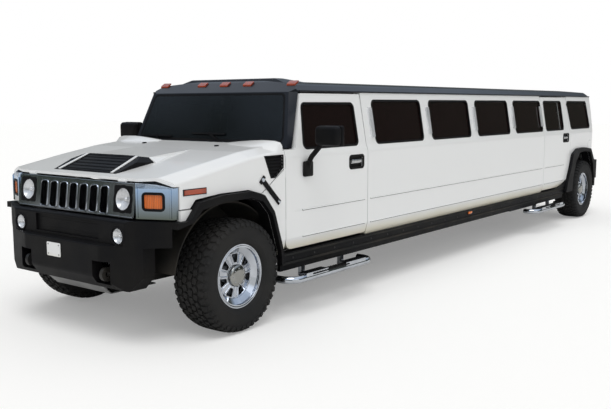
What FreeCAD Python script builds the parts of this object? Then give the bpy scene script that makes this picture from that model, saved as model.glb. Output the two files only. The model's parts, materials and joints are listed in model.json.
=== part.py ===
"""A stretch limousine with a boxy off-road style body on a ladder frame.

+X points forward, +Y to the driver's left and +Z up.  The origin lies on the
ground, below the middle of the car.  Lengths are in millimetres.
"""
import FreeCAD, Part
import math
import os
import Sketcher
from FreeCAD import Placement, Rotation, Vector

# Driving sizes, each written once
SIZES = {
    # Chassis
    "wheelbase": 7691, "front_overhang": 860, "rear_overhang": 839,
    "track_inset": 103.5, "kingpin_inset": 61.5,
    # Body heights, each counted from the one before
    "sill_height": 515, "tuck_rise": 115, "crease_rise": 220, "belt_rise": 440,
    "shoulder_rise": 60, "glass_rise": 395, "header_rise": 70,
    "roof_edge_rise": 68, "roof_crown_rise": 37,
    # Body half widths, each inset counted from the widest
    "body_half_width": 985, "sill_inset": 30, "glass_low_inset": 20,
    "roof_seam_inset": 100, "roof_edge_inset": 185, "wall": 70,
    "bend_radius": 80, "panel_gap": 8, "fit_gap": 0.3, "overrun": 60,
    "door_pin_radius": 4.2, "door_pin_length": 70, "door_pin_inset": 90,
    # Side doors
    "front_door_aft": 580, "front_door_length": 1190,
    "rear_door_ahead": 1541, "rear_door_length": 1000,
    "door_sill_gap": 21, "door_head_gap": 12, "door_toe_radius": 95,
    "door_corner_radius": 24, "door_edge_rake": 30, "pillar_foot": 155,
    "pillar_lean": 145, "front_glass_inset": 250, "front_glass_lean": 55,
    "front_glass_end": 125, "rear_glass_inset": 100, "rear_glass_length": 670,
    "glass_corner_radius": 40, "front_glass_drop": 25,
    "handle_length": 220, "handle_height": 110, "handle_inset": 70,
    "front_handle_sink": 90, "rear_handle_sink": 60, "handle_depth": 22,
    "grip_length": 140, "grip_height": 26, "grip_thickness": 14,
    # Stretched middle
    "pillar_width": 190, "crease_height": 14, "crease_depth": 5,
    "crease_inset": 110, "crease_end_gap": 130,
    "opera_width": 60, "opera_height": 270, "opera_proud": 14,
    "opera_rib": 12, "opera_lift": 60, "opera_gap": 20,
    # Glass
    "glass_thickness": 6, "glass_set_back": 12,
    # Rear quarter and tail
    "tail_aft": 515, "quarter_glass_ahead": 455, "quarter_glass_end": 365,
    "quarter_glass_lean": 90, "tail_corner_radius": 90, "gate_inset": 225,
    "gate_foot_height": 850, "gate_thickness": 60, "gate_glass_side": 110,
    "gate_glass_foot": 470, "gate_glass_head": 120, "gate_handle_width": 240,
    "gate_handle_height": 70, "gate_handle_rise": 120,
    "tail_lamp_width": 90, "tail_lamp_height": 330, "tail_lamp_rise": 90,
    "tail_lamp_proud": 8, "tail_lamp_depth": 24, "gate_pin_radius": 11,
    "gate_pin_length": 90, "gate_pin_side": 450, "gate_leaf_height": 60,
    # Roof
    "roof_skin": 40, "roof_front_aft": 835, "roof_front_run": 150,
    "roof_front_radius": 120, "roof_corner_run": 60, "roof_corner_side": 70,
    "roof_rear_radius": 95, "crown_radius": 2500, "header_depth": 90,
    "fairing_half_width": 680, "fairing_top_half": 500, "fairing_rise": 18,
    "fairing_length": 460,
    "fairing_nose": 30, "marker_width": 95, "marker_length": 45,
    "marker_height": 24, "marker_outer_half": 775, "marker_spacing": 280,
    "marker_aft": 75,
    # Windscreen
    "screen_foot_aft": 660, "screen_foot_rise": 50, "screen_head_drop": 18,
    "screen_lean": 162, "screen_foot_inset": 107, "screen_head_inset": 199,
    "screen_frame": 50, "screen_flange": 26, "pillar_proud": 45,
    "pillar_foot_run": 12, "pillar_head_run": 59,
    "wiper_radius": 9, "wiper_depth": 12, "wiper_gap": 4, "wiper_ahead": 20,
    "wiper_left_side": 234, "wiper_left_run": 214, "wiper_left_rise": 107,
    "wiper_right_side": 587, "wiper_right_run": 55, "wiper_right_rise": 76,
    "blade_length": 400, "blade_height": 14, "wiper_foot_drop": 30,
    # Hood and scoop
    "hood_rear_aft": 550, "hood_front_ahead": 695, "hood_skin": 20,
    "hood_front_height": 1200, "hood_rear_height": 1395,
    "hood_middle_height": 1352, "hood_break_height": 1292,
    "hood_middle_aft": 150, "hood_break_ahead": 200, "hood_corner_radius": 60,
    "hood_front_inset": 20, "hood_bevel_run": 120, "hood_bevel_rise": 45,
    "hood_corner_run": 95, "hood_corner_side": 265,
    "hood_pin_ahead": 700, "hood_pin_radius": 10, "hood_pin_length": 80,
    "hood_pin_side": 500, "hood_rear_drop": 95,
    "vent_front_aft": 318, "vent_rear_aft": 540, "vent_head_height": 1312,
    "vent_side_height": 1214, "vent_foot_height": 1143, "vent_foot_inset": 76,
    "vent_foot_length": 48, "vent_depth": 14,
    "scoop_nose_ahead": 625, "scoop_crest_ahead": 355, "scoop_tail_ahead": 286,
    "scoop_front_half": 374, "scoop_rear_half": 404, "scoop_crest_half": 335,
    "scoop_rise": 60, "scoop_tail_rise": 38, "scoop_slot_length": 20,
    "scoop_slot_half": 262, "scoop_slot_depth": 14, "bulge_tail_aft": 430,
    "bulge_foot_half": 430, "bulge_top_half": 345,
    # Grille and lamps
    "grille_face_ahead": 742, "grille_lean": 30, "grille_thickness": 50,
    "grille_foot": 925, "grille_rise": 245, "grille_top_inset": 285,
    "grille_foot_inset": 290, "grille_corner": 20, "slot_width": 78,
    "slot_pitch": 121, "slot_height": 190, "slot_foot_rise": 15, "lamp_spacing": 570,
    "lamp_radius": 85, "lamp_rise": 128,
    "bezel_inset": 281, "bezel_face_ahead": 727, "bezel_tip_ahead": 616,
    "bezel_back_ahead": 572, "bezel_corner": 18, "bezel_drop": 27,
    "turn_height": 105, "turn_rise": 69, "turn_inset": 61, "turn_length": 145,
    "turn_sink": 6, "turn_depth": 20,
    # Bumpers
    "bumper_top_height": 912, "bumper_face_ahead": 800,
    "bumper_ledge_height": 735, "bumper_low_height": 500,
    "bumper_foot_height": 415, "bumper_inset": 14, "bumper_shell": 45,
    "bumper_nose_half": 450, "bumper_ledge_half": 745, "bumper_ledge_run": 85,
    "bumper_side_half": 790, "bumper_side_height": 520, "bumper_low_half": 690,
    "bumper_room_half": 620, "bumper_recess_half": 380,
    "bumper_recess_height": 130, "bumper_recess_depth": 18, "fog_spacing": 586,
    "fog_height": 800, "fog_radius": 60, "skid_half_width": 330,
    "skid_length": 520, "skid_thickness": 8, "skid_drop": 90,
    "hook_spacing": 455, "hook_radius": 52, "hook_bar": 16, "hook_height": 530,
    "hook_ahead": 800, "rear_bumper_foot": 550, "rear_bumper_rise": 285,
    "rear_bumper_ahead": 130, "rear_bumper_corner": 150, "step_depth": 12,
    "step_half_width": 420, "receiver_width": 64, "receiver_wall": 6.6,
    "receiver_length": 260, "pin_radius": 8,
    "pin_setback": 60,
    # Flares, sills and steps
    "flare_reach": 46, "flare_root": 35, "arch_reach": 470, "arch_rise": 580,
    "flare_front": 640, "flare_top": 631, "flare_rear": 506,
    "flare_corner": 60, "sill_drop": 70, "rail_drop": 143,
    "sill_thickness": 34, "rail_inset": 12,
    "step_tube": 30, "step_out": 115, "step_height": 310,
    "front_step_length": 1165, "front_step_aft": 515, "rear_step_length": 1080,
    "rear_step_ahead": 2071, "step_bend": 110, "bracket_width": 50,
    "bracket_inset": 300, "pad_length": 300, "pad_width": 110, "pad_rise": 12,
    # Mirrors
    "mirror_aft": 270, "mirror_height": 1185, "mirror_out": 105,
    "mirror_length": 110, "mirror_width": 240, "mirror_tall": 160,
    "mirror_lift": 195, "mirror_radius": 35, "mirror_arm": 60,
    "mirror_foot": 110,
    # Frame and floor
    "rail_spacing": 430, "rail_width": 80, "rail_depth": 120,
    "rail_front_ahead": 640, "kick_rise": 130, "kick_half": 420,
    "kick_slope": 180, "cross_width": 90, "cross_pitch": 1500,
    "cross_front_ahead": 80, "floor_thickness": 30, "tub_radius": 500,
    "tub_wall": 20, "tub_depth": 215,
    "firewall_aft": 572, "firewall_thickness": 26, "cowl_drop": 22,
    "apron_spacing": 490, "apron_thickness": 15, "apron_top": 1050,
    "apron_front_ahead": 610, "liner_radius": 545,
    "liner_wall": 12, "liner_inset": 101, "radiator_ahead": 560,
    "radiator_depth": 60, "radiator_foot": 600,
    "radiator_top": 1120, "stay_side": 425, "stay_width": 40,
    "stay_foot": 960, "stay_rise": 140, "engine_length": 720, "engine_half_width": 290,
    "engine_rise": 520, "engine_ahead": 280, "gearbox_length": 900,
    "gearbox_half_width": 160, "gearbox_depth": 150,
    # Axles and wheels
    "wheel_height": 432, "tyre_radius": 432, "tyre_half_width": 157.5,
    "bead_half_width": 118, "bead_radius": 219, "tread_half_width": 128,
    "shoulder_radius": 405, "flange_radius": 243, "flange_width": 10,
    "rim_wall": 13, "spoke_face": 84, "spoke_depth": 52, "dish_radius": 172,
    "dish_sink": 12, "dish_rise": 24, "dish_wall": 22, "port_foot": 100,
    "port_tip": 166, "port_foot_half": 16, "port_tip_half": 36,
    "port_corner": 8, "hub_radius": 84, "hub_depth": 112,
    "cap_radius": 68, "cap_rise": 26, "spindle_radius": 34,
    "bore_gap": 0.05, "knuckle_half": 30,
    "knuckle_rise": 118, "knuckle_width": 56, "arm_length": 150,
    "arm_thickness": 26, "arm_inboard": 95,
    "wishbone_thickness": 28, "wishbone_gap": 3, "wishbone_tip_half": 42,
    "wishbone_waist_half": 80, "wishbone_root_half": 160,
    "wishbone_waist": 600, "post_thickness": 30,
    "axle_tube": 46, "axle_half": 770, "diff_radius": 150, "shaft_radius": 42,
    "spring_width": 70, "spring_thickness": 26,
    "exhaust_radius": 32, "exhaust_height": 330, "exhaust_side": 250,
    "muffler_radius": 88, "muffler_length": 620, "tank_length": 1000,
    "tank_outer_inset": 185, "tank_depth": 210, "tank_ahead": 1250,
    # Cabin
    "dash_depth": 380, "dash_height": 1190, "dash_foot": 800,
    "dash_inset": 105, "wheel_rim_radius": 190, "wheel_rim_tube": 15,
    "wheel_side": 400, "wheel_aft": 1130, "wheel_centre_height": 1150,
    "seat_width": 560, "seat_depth": 520, "seat_height": 820,
    "seat_back_height": 1330, "seat_back_thickness": 150, "seat_cushion": 170,
    "seat_aft": 1080, "seat_side": 400, "seat_round": 45,
    "bench_depth": 560, "bench_back": 150, "bench_top": 1230,
    "bench_seat": 930, "bench_ahead": 470, "partition_aft": 1860,
    "partition_thickness": 60, "partition_window_half": 420,
    "partition_window_foot": 1250, "partition_window_rise": 330,
    "partition_side_gap": 75,
}

# Shares of the sizes that they follow, chosen by hand
FLARE_FRONT_SHARES = [(-1.0, 0.05), (-0.976, 0.2), (-0.763, 0.71), (-0.53, 0.937),
                      (-0.255, 1.0), (0.346, 1.0), (0.826, 0.952), (1.04, 0.76)]
ARCH_FRONT_SHARES = [(-1.0, 0.05), (-0.98, 0.22), (-0.76, 0.74), (-0.52, 0.94),
                     (-0.25, 1.0), (0.37, 1.0), (0.85, 0.94), (1.04, 0.8)]
FLARE_REAR_SHARES = [(1.59, 0.05), (1.18, 0.63), (1.05, 0.87), (0.64, 0.99),
                     (0.0, 1.0), (-0.62, 0.95), (-0.96, 0.66), (-1.08, 0.3)]
ARCH_REAR_SHARES = [(1.05, 0.05), (1.0, 0.4), (0.78, 0.76), (0.45, 0.97),
                    (0.0, 1.0), (-0.55, 0.95), (-0.86, 0.62), (-0.98, 0.3)]
CREASE_REAR_SHARE = 0.7
GROW_SHARE = 0.6
ROOF_FLAT_SHARE = 0.45
RIM_SECTION_SHARE = 0.4
FENDER_SEAM_SHARE = 0.34
SCOOP_SLOT_SHARES = [0.10, 0.27, 0.44, 0.61, 0.78]
COLUMN_ANGLE = -25
PORT_COUNT = 7
SLOT_COUNT = 7
WINDOW_COUNT = 4
CROSS_COUNT = 5
CARRIER_NUMBER = 3

doc = FreeCAD.newDocument("StretchLimousine")
sheet = doc.addObject("Spreadsheet::Sheet", "Sizes")


class Size:
    """A length with the sheet expression that gives it."""

    def __init__(self, value, text):
        self.value = float(value)
        self.text = text

    def __add__(self, other):
        return Size(self.value + other.value, f"({self.text} + {other.text})")

    def __sub__(self, other):
        return Size(self.value - other.value, f"({self.text} - {other.text})")

    def __neg__(self):
        return Size(-self.value, f"(-{self.text})")

    def __mul__(self, share):
        return Size(self.value * share, f"({self.text} * {share!r})")

    def __truediv__(self, share):
        return Size(self.value / share, f"({self.text} / {share!r})")

    def __float__(self):
        return self.value


class Sheet:
    """The sheet's values by name."""


S = Sheet()
for row, (name, value) in enumerate(SIZES.items(), 1):
    sheet.set(f"A{row}", name)
    sheet.set(f"B{row}", str(value))
    sheet.setAlias(f"B{row}", name)
    setattr(S, name, Size(value, f"Sizes.{name}"))
doc.recompute()
ZERO = Size(0, "0")

# Stations worked out from the driving sizes
OVERALL = S.wheelbase + S.front_overhang + S.rear_overhang
FRONT = OVERALL / 2 - S.front_overhang
REAR = FRONT - S.wheelbase
TUCK = S.sill_height + S.tuck_rise
CREASE = TUCK + S.crease_rise
BELT = CREASE + S.belt_rise
GLASS_LOW = BELT + S.shoulder_rise
GLASS_HIGH = GLASS_LOW + S.glass_rise
ROOF_SEAM = GLASS_HIGH + S.header_rise
ROOF_EDGE = ROOF_SEAM + S.roof_edge_rise
ROOF_CROWN = ROOF_EDGE + S.roof_crown_rise
TAIL = REAR - S.tail_aft
COWL = FRONT - S.front_door_aft + S.panel_gap
DOOR_FRONT = FRONT - S.front_door_aft
DOOR_REAR = DOOR_FRONT - S.front_door_length
BACK_DOOR_FRONT = REAR + S.rear_door_ahead
BACK_DOOR_REAR = BACK_DOOR_FRONT - S.rear_door_length
STRETCH_FRONT = DOOR_REAR - S.panel_gap
STRETCH_REAR = BACK_DOOR_FRONT + S.panel_gap
HOOD_REAR_TOP = S.hood_rear_height
HOOD_MIDDLE_TOP = S.hood_middle_height
HOOD_BREAK_TOP = S.hood_break_height
HOOD_FRONT_TOP = S.hood_front_height
HALF_TRACK = S.body_half_width - S.track_inset
GATE_HALF = S.body_half_width - S.gate_inset
KINGPIN = HALF_TRACK - S.kingpin_inset
LINER_HALF = S.body_half_width - S.liner_inset
OUTSIDE = S.body_half_width + S.overrun
PLANES = {"side": Rotation(Vector(1, 0, 0), 90), "front": Rotation(Vector(1, 1, 1), 120),
    "plan": Rotation()}
NORMALS = {"side": Vector(0, 1, 0), "front": Vector(1, 0, 0), "plan": Vector(0, 0, 1)}
ACROSS = {"side": "y", "front": "x", "plan": "z"}


def bind(item, prop, size):
    """Set a property, and bind it to the sheet unless it is zero."""
    if size.text != "0":
        item.setExpression(prop, size.text)


def place(item, x=ZERO, y=ZERO, z=ZERO):
    """Bind an object's place."""
    for letter, size in zip("xyz", (x, y, z)):
        bind(item, f"Placement.Base.{letter}", size)
    return item


def corner_arc(points, radius):
    """The arc that rounds a corner, and whether it runs from the first edge to the next."""
    start, corner, finish = points
    arm = (start - corner).normalize()
    leg = (finish - corner).normalize()
    half = arm.getAngle(leg) / 2
    centre = corner + (arm + leg).normalize() * (float(radius) / math.sin(half))
    touch = [corner + side * (float(radius) / math.tan(half)) for side in (arm, leg)]
    onward = arm.cross(leg).z < 0
    begin, end = [math.atan2(p.y - centre.y, p.x - centre.x)
                  for p in (touch if onward else touch[::-1])]
    if end < begin:
        end += 2 * math.pi
    circle = Part.Circle(centre, Vector(0, 0, 1), float(radius))
    return Part.ArcOfCircle(circle, begin, end), touch, onward


def draw(sketch, corners, closed=True):
    """Draw straight edges through the corners, rounded where a corner has a radius."""
    points = [Vector(float(c[0]), float(c[1]), 0) for c in corners]
    count = len(corners)
    rounded = {}
    ends = list(points)
    starts = list(points)
    for i, corner in enumerate(corners):
        if len(corner) == 3:
            around = (points[i - 1], points[i], points[(i + 1) % count])
            rounded[i] = corner_arc(around, corner[2])
            ends[i], starts[i] = rounded[i][1]
    lines = [sketch.addGeometry(Part.LineSegment(starts[i], ends[(i + 1) % count]), False)
             for i in range(count if closed else count - 1)]
    rules = []
    sizes = []

    def rule(size, *words):
        rules.append(Sketcher.Constraint(*words))
        sizes.append(size)

    for i, corner in enumerate(corners):
        spot, end = lines[i % len(lines)], 1
        if not closed and i == count - 1:
            spot, end = lines[-1], 2
        elif i in rounded:
            arc = sketch.addGeometry(rounded[i][0], False)
            near, far = (1, 2) if rounded[i][2] else (2, 1)
            rule(ZERO, "Tangent", lines[i - 1], 2, arc, near)
            rule(ZERO, "Tangent", lines[i], 1, arc, far)
            rule(corner[2], "Radius", arc, float(corner[2]))
            spot = sketch.addGeometry(Part.Point(points[i]), True)
            rule(ZERO, "PointOnObject", spot, 1, lines[i - 1])
            rule(ZERO, "PointOnObject", spot, 1, lines[i])
        elif closed or i:
            rule(ZERO, "Coincident", lines[i - 1], 2, lines[i], 1)
        rule(corner[0], "DistanceX", -1, 1, spot, end, float(corner[0]))
        rule(corner[1], "DistanceY", -1, 1, spot, end, float(corner[1]))
    sketch.addConstraint(rules)
    for number, size in enumerate(sizes):
        bind(sketch, f"Constraints[{number}]", size)
    return sketch


def sketch_on(plane, name, level, corners, closed=True):
    """A free sketch on a side, front or plan plane at the given level."""
    sketch = doc.addObject("Sketcher::SketchObject", name + "_outline")
    sketch.Placement = Placement(Vector(), PLANES[plane])
    bind(sketch, f"Placement.Base.{ACROSS[plane]}", level)
    return draw(sketch, corners, closed)


def block(plane, name, corners, low, high):
    """Extrude an outline from one level to another, square to its plane."""
    item = doc.addObject("Part::Extrusion", name)
    item.Base = sketch_on(plane, name, low, corners)
    item.DirMode = "Custom"
    item.Dir = NORMALS[plane]
    item.Solid = True
    bind(item, "LengthFwd", high - low)
    return item


def box(name, low, high):
    """A plain block between two corners."""
    item = doc.addObject("Part::Box", name)
    for prop, start, end in zip(("Length", "Width", "Height"), low, high):
        bind(item, prop, end - start)
    return place(item, *low)


def rod(name, axis, start, radius, length):
    """A round bar along X, Y or Z."""
    turns = {"x": Rotation(Vector(0, 1, 0), 90), "y": Rotation(Vector(1, 0, 0), -90),
    "z": Rotation()}
    item = doc.addObject("Part::Cylinder", name)
    item.Placement = Placement(Vector(), turns[axis])
    bind(item, "Radius", radius)
    bind(item, "Height", length)
    return place(item, *start)


def fuse(name, *parts):
    """Join overlapping shapes into one."""
    item = doc.addObject("Part::MultiFuse", name)
    item.Shapes = list(parts)
    item.Refine = True
    return item


def meet(name, first, second):
    """Keep what two shapes share."""
    item = doc.addObject("Part::Common", name)
    item.Base = first
    item.Tool = second
    return item


def cut(name, base, *tools):
    """Take the tools away from a shape."""
    item = doc.addObject("Part::Cut", name)
    item.Base = base
    item.Tool = tools[0] if len(tools) == 1 else group(name + "_tools", *tools)
    return item


def group(name, *parts):
    """Several solids in one shape."""
    item = doc.addObject("Part::Compound", name)
    item.Links = list(parts)
    return item


def mirror(name, part):
    """The same piece on the other side of the car."""
    item = doc.addObject("Part::Mirroring", name)
    item.Source = part
    item.Normal = Vector(0, 1, 0)
    return item


def pair(name, part):
    """A piece and its mirror image in one node."""
    return group(name, part, mirror(name + "_mirrored", part))


NODES = {}


def node(label, item):
    """Name a finished sub-part."""
    item.Label = label
    NODES[label] = item
    return item


def wall_profile(depth_out, depth_in):
    """Half the body's cross-section between two depths below the skin."""
    half = S.body_half_width
    line = [(half - S.sill_inset, S.sill_height), (half, TUCK), (half, BELT),
            (half - S.glass_low_inset, GLASS_LOW), (half - S.roof_seam_inset, ROOF_SEAM)]
    outer = [(y - depth_out, z) for y, z in line]
    inner = [(y - depth_in, z) for y, z in reversed(line)]
    outer[2] = (*outer[2], S.bend_radius)
    return outer + inner


def side_wall():
    """The pressed side of the body, from the front axle to the tail."""
    return block("front", "side_wall", wall_profile(ZERO, S.wall), TAIL, FRONT)


def side_pane():
    """A sheet of glass set back from the skin, from the front axle to the tail."""
    low = S.glass_set_back
    high = S.glass_set_back + S.glass_thickness
    return block("front", "side_pane", wall_profile(low, high), TAIL, FRONT)


def window(name, front, length, lean, tail_lean=ZERO, drop=ZERO, inset=ZERO):
    """An opening with rounded corners, or the pane in it when it has an inset."""
    low = GLASS_LOW + inset
    high = GLASS_HIGH - inset - drop
    round_off = S.glass_corner_radius
    corners = [(front - inset, low, round_off), (front - lean - inset, high, round_off),
               (front - length + tail_lean + inset, high, round_off),
               (front - length + inset, low, round_off)]
    return block("side", name, corners, S.body_half_width / 2, OUTSIDE)


def crease(name, front, rear):
    """A groove with round ends along the body line."""
    low = CREASE - S.crease_height / 2
    high = CREASE + S.crease_height / 2
    soft = S.crease_height / 3
    corners = [(front, low, soft), (front, high, soft), (rear, high, soft), (rear, low, soft)]
    depth = S.body_half_width - S.crease_depth
    return block("side", name, corners, depth, OUTSIDE)


def raked_edge(name, front, rear):
    """A plan outline whose rear edge leans away from the pillar as it goes inboard."""
    depth = S.body_half_width / 2
    corners = [(front, OUTSIDE), (front, depth),
               (rear + S.door_edge_rake * 2, depth), (rear, S.body_half_width),
               (rear, OUTSIDE)]
    return block("plan", name, corners, ZERO, ROOF_CROWN)


def handle_recess(name, rear, height):
    """The sunk tray behind a door handle."""
    low = rear + S.handle_inset
    soft = S.handle_height / 4
    top = height + S.handle_height
    corners = [(low, height, soft), (low, top, soft), (low + S.handle_length, top, soft),
               (low + S.handle_length, height, soft)]
    return block("side", name, corners, S.body_half_width - S.handle_depth, OUTSIDE)


def handle_grip(name, rear, height):
    """The paddle across the tray, standing on its floor."""
    low = rear + S.handle_inset + (S.handle_length - S.grip_length) / 2
    foot = height + (S.handle_height - S.grip_height) / 2
    skin = S.body_half_width - S.handle_depth
    return box(name, (low, skin, foot),
               (low + S.grip_length, skin + S.grip_thickness, foot + S.grip_height))


def hinge_pins(name, ahead):
    """Two hinge barrels in the gap at a door's front edge."""
    radius = S.door_pin_radius
    pins = []
    for number, low in enumerate((TUCK + S.door_pin_inset,
                                  BELT - S.door_pin_inset - S.door_pin_length)):
        start = (ahead - S.fit_gap - radius, S.body_half_width, low)
        pins.append(rod(f"{name}_{number}", "z", start, radius, S.door_pin_length))
    return pins


def front_door_outline():
    """The front door, with a round toe and the windscreen pillar's slope."""
    foot = S.sill_height + S.door_sill_gap
    top = ROOF_SEAM - S.door_head_gap
    soft = S.door_corner_radius
    return [(DOOR_FRONT, foot, S.door_toe_radius), (DOOR_FRONT, GLASS_LOW, soft),
            (DOOR_FRONT - S.pillar_foot, GLASS_LOW, soft),
            (DOOR_FRONT - S.pillar_foot - S.pillar_lean, top, soft),
            (DOOR_REAR, top, soft), (DOOR_REAR, foot, soft)]


def front_glass(name, inset):
    """The front door's window outline."""
    front = DOOR_FRONT - S.front_glass_inset
    length = S.front_door_length - S.front_glass_inset - S.front_glass_end
    return window(name, front, length, S.front_glass_lean, S.panel_gap,
                  S.front_glass_drop, inset)


def front_doors(wall, pane):
    """Both front doors, with their panes."""
    shape = meet("front_door_skin", wall, block("side", "front_door_edge",
                 front_door_outline(), S.body_half_width / 2, OUTSIDE))
    shape = meet("front_door_raked", shape, raked_edge("front_door_rake", DOOR_FRONT, DOOR_REAR))
    handle = BELT - S.front_handle_sink - S.handle_height / 2
    shape = cut("front_door_cut", shape, front_glass("front_door_window", ZERO),
                crease("front_door_crease", DOOR_FRONT - S.crease_inset, DOOR_REAR + S.crease_inset),
                handle_recess("front_door_tray", DOOR_REAR, handle))
    shape = fuse("front_door_whole", shape, handle_grip("front_door_grip", DOOR_REAR, handle),
                 *hinge_pins("front_door_pin", COWL))
    glass = meet("front_door_pane", pane, front_glass("front_door_pane_edge", S.fit_gap))
    node("front_door_left", shape)
    node("front_door_right", mirror("front_door_other", shape))
    node("front_door_glass_left", glass)
    node("front_door_glass_right", mirror("front_door_pane_other", glass))


def arch_outline(shares, axle, reach, rise):
    """A wheel-arch outline round an axle."""
    foot = S.sill_height - S.sill_drop
    points = []
    for number, (along, up) in enumerate(shares):
        spot = (axle + reach * along, S.wheel_height + rise * up)
        if 1 < number < len(shares) - 2:
            spot = (*spot, S.flare_corner)
        points.append(spot)
    return [(points[0][0], foot)] + points + [(points[-1][0], foot)]


def crossing(first, second, height):
    """Where the line between two outline points reaches a height."""
    share = (height - first[1]).value / (second[1] - first[1]).value
    return first[0] + (second[0] - first[0]) * share


def rear_door_outline():
    """The rear door, whose lower corner follows the flare."""
    foot = S.sill_height + S.door_sill_gap
    top = ROOF_SEAM - S.door_head_gap
    soft = S.door_corner_radius
    gap = S.panel_gap + S.flare_root / 5
    reach = S.arch_reach
    rise = S.flare_top
    corner = REAR + reach * FLARE_REAR_SHARES[2][0] + gap
    return [(BACK_DOOR_FRONT, foot, soft), (BACK_DOOR_FRONT, top, soft),
            (BACK_DOOR_REAR, top, soft),
            (BACK_DOOR_REAR, S.wheel_height + rise, soft),
            (corner, S.wheel_height + rise * FLARE_REAR_SHARES[2][1]),
            (REAR + reach * FLARE_REAR_SHARES[1][0] + gap,
             S.wheel_height + rise * FLARE_REAR_SHARES[1][1]),
            (REAR + reach * FLARE_REAR_SHARES[0][0] + gap, foot)]


def rear_glass(name, inset):
    """The rear door's window outline."""
    front = BACK_DOOR_FRONT - S.rear_glass_inset
    return window(name, front, S.rear_glass_length, ZERO, ZERO, ZERO, inset)


def rear_doors(wall, pane):
    """Both rear doors, with their panes."""
    shape = meet("rear_door_skin", wall, block("side", "rear_door_edge",
                 rear_door_outline(), S.body_half_width / 2, OUTSIDE))
    shape = meet("rear_door_raked", shape,
                 raked_edge("rear_door_rake", BACK_DOOR_FRONT, BACK_DOOR_REAR))
    handle = BELT - S.rear_handle_sink - S.handle_height / 2
    stop = BACK_DOOR_FRONT - S.rear_door_length * CREASE_REAR_SHARE
    shape = cut("rear_door_cut", shape, rear_glass("rear_door_window", ZERO),
                crease("rear_door_crease", BACK_DOOR_FRONT - S.crease_inset, stop),
                handle_recess("rear_door_tray", BACK_DOOR_REAR, handle))
    shape = fuse("rear_door_whole", shape, handle_grip("rear_door_grip", BACK_DOOR_REAR, handle),
                 *hinge_pins("rear_door_pin", STRETCH_REAR))
    glass = meet("rear_door_pane", pane, rear_glass("rear_door_pane_edge", S.fit_gap))
    node("rear_door_left", shape)
    node("rear_door_right", mirror("rear_door_other", shape))
    node("rear_door_glass_left", glass)
    node("rear_door_glass_right", mirror("rear_door_pane_other", glass))


def stretch_windows():
    """Front edge and length of each window between the doors."""
    pitch = (STRETCH_FRONT - STRETCH_REAR) / WINDOW_COUNT
    length = pitch - S.pillar_width
    places = []
    for number in range(WINDOW_COUNT):
        places.append((STRETCH_FRONT - pitch * number - S.pillar_width + S.opera_gap, length))
    return places


def stretch_sides(wall):
    """The long fixed panels between the doors."""
    foot = S.sill_height
    corners = [(STRETCH_FRONT, foot), (STRETCH_FRONT, ROOF_SEAM), (STRETCH_REAR, ROOF_SEAM),
               (STRETCH_REAR, foot)]
    shape = meet("stretch_skin", wall, block("side", "stretch_edge", corners,
                 S.body_half_width / 2, OUTSIDE))
    holes = [window(f"stretch_window_{number}", front, length, ZERO)
             for number, (front, length) in enumerate(stretch_windows())]
    holes.append(crease("stretch_crease", STRETCH_FRONT - S.crease_end_gap,
                        STRETCH_REAR + S.crease_end_gap))
    node("stretch_sides", pair("stretch_pair", cut("stretch_cut", shape, *holes)))


def quarter_glass(name, inset):
    """The pane behind the rear door."""
    front = REAR + S.quarter_glass_ahead
    length = S.quarter_glass_ahead + S.quarter_glass_end
    return window(name, front, length, -S.quarter_glass_lean, S.opera_lift, ZERO, inset)


def rear_quarters(wall):
    """The fixed corners behind the rear doors, with the tail lamp recesses."""
    gap = S.panel_gap
    door = rear_door_outline()
    arch = arch_outline(ARCH_REAR_SHARES, REAR, S.arch_reach, S.arch_rise)
    edge = [(BACK_DOOR_REAR - gap, ROOF_SEAM), (BACK_DOOR_REAR - gap, door[3][1]),
            (door[4][0] - gap, door[4][1]), (door[5][0] - gap, door[5][1]),
            (door[6][0] - gap, S.sill_height), (arch[1][0], S.sill_height)]
    edge += arch[2:9]
    edge += [(arch[8][0], S.sill_height), (TAIL, S.sill_height), (TAIL, ROOF_SEAM)]
    shape = meet("quarter_skin", wall, block("side", "quarter_edge", edge,
                 S.body_half_width / 2, OUTSIDE))
    half = S.body_half_width
    back = [(GATE_HALF, S.rear_bumper_foot + S.rear_bumper_rise),
            (half, S.rear_bumper_foot + S.rear_bumper_rise), (half, BELT),
            (half - S.glass_low_inset, GLASS_LOW), (half - S.roof_seam_inset, ROOF_SEAM),
            (GATE_HALF, ROOF_SEAM)]
    shape = fuse("quarter_corner", shape,
                 block("front", "quarter_back", back, TAIL, TAIL + S.wall))
    plan = [(TAIL, ZERO), (TAIL, half, S.tail_corner_radius),
            (BACK_DOOR_FRONT, half), (BACK_DOOR_FRONT, ZERO)]
    shape = meet("quarter_rounded", shape,
                 block("plan", "quarter_plan", plan, ZERO, ROOF_CROWN))
    low = CREASE + S.tail_lamp_rise
    inner = GATE_HALF + S.panel_gap * 3
    recess = box("lamp_recess", (TAIL - S.overrun, inner, low),
                 (TAIL + S.tail_lamp_depth, inner + S.tail_lamp_width, low + S.tail_lamp_height))
    shape = cut("quarter_cut", shape, quarter_glass("quarter_window", ZERO), recess)
    node("rear_quarters", pair("quarter_pair", shape))
    fit = S.fit_gap
    lamp = box("tail_lamp", (TAIL - S.tail_lamp_proud, inner + fit, low + fit),
               (TAIL + S.tail_lamp_depth, inner + S.tail_lamp_width - fit,
                low + S.tail_lamp_height - fit))
    node("tail_lamps", pair("tail_lamp_pair", lamp))


def fixed_glass(pane):
    """All the side panes that don't open."""
    panes = []
    for number, (front, length) in enumerate(stretch_windows()):
        edge = window(f"stretch_pane_edge_{number}", front, length, ZERO, ZERO, ZERO, S.fit_gap)
        panes.append(meet(f"stretch_pane_{number}", pane, edge))
    panes.append(meet("quarter_pane", pane, quarter_glass("quarter_pane_edge", S.fit_gap)))
    both = [mirror(item.Name + "_other", item) for item in panes]
    node("side_glass", group("side_glass_group", *panes, *both))


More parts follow.
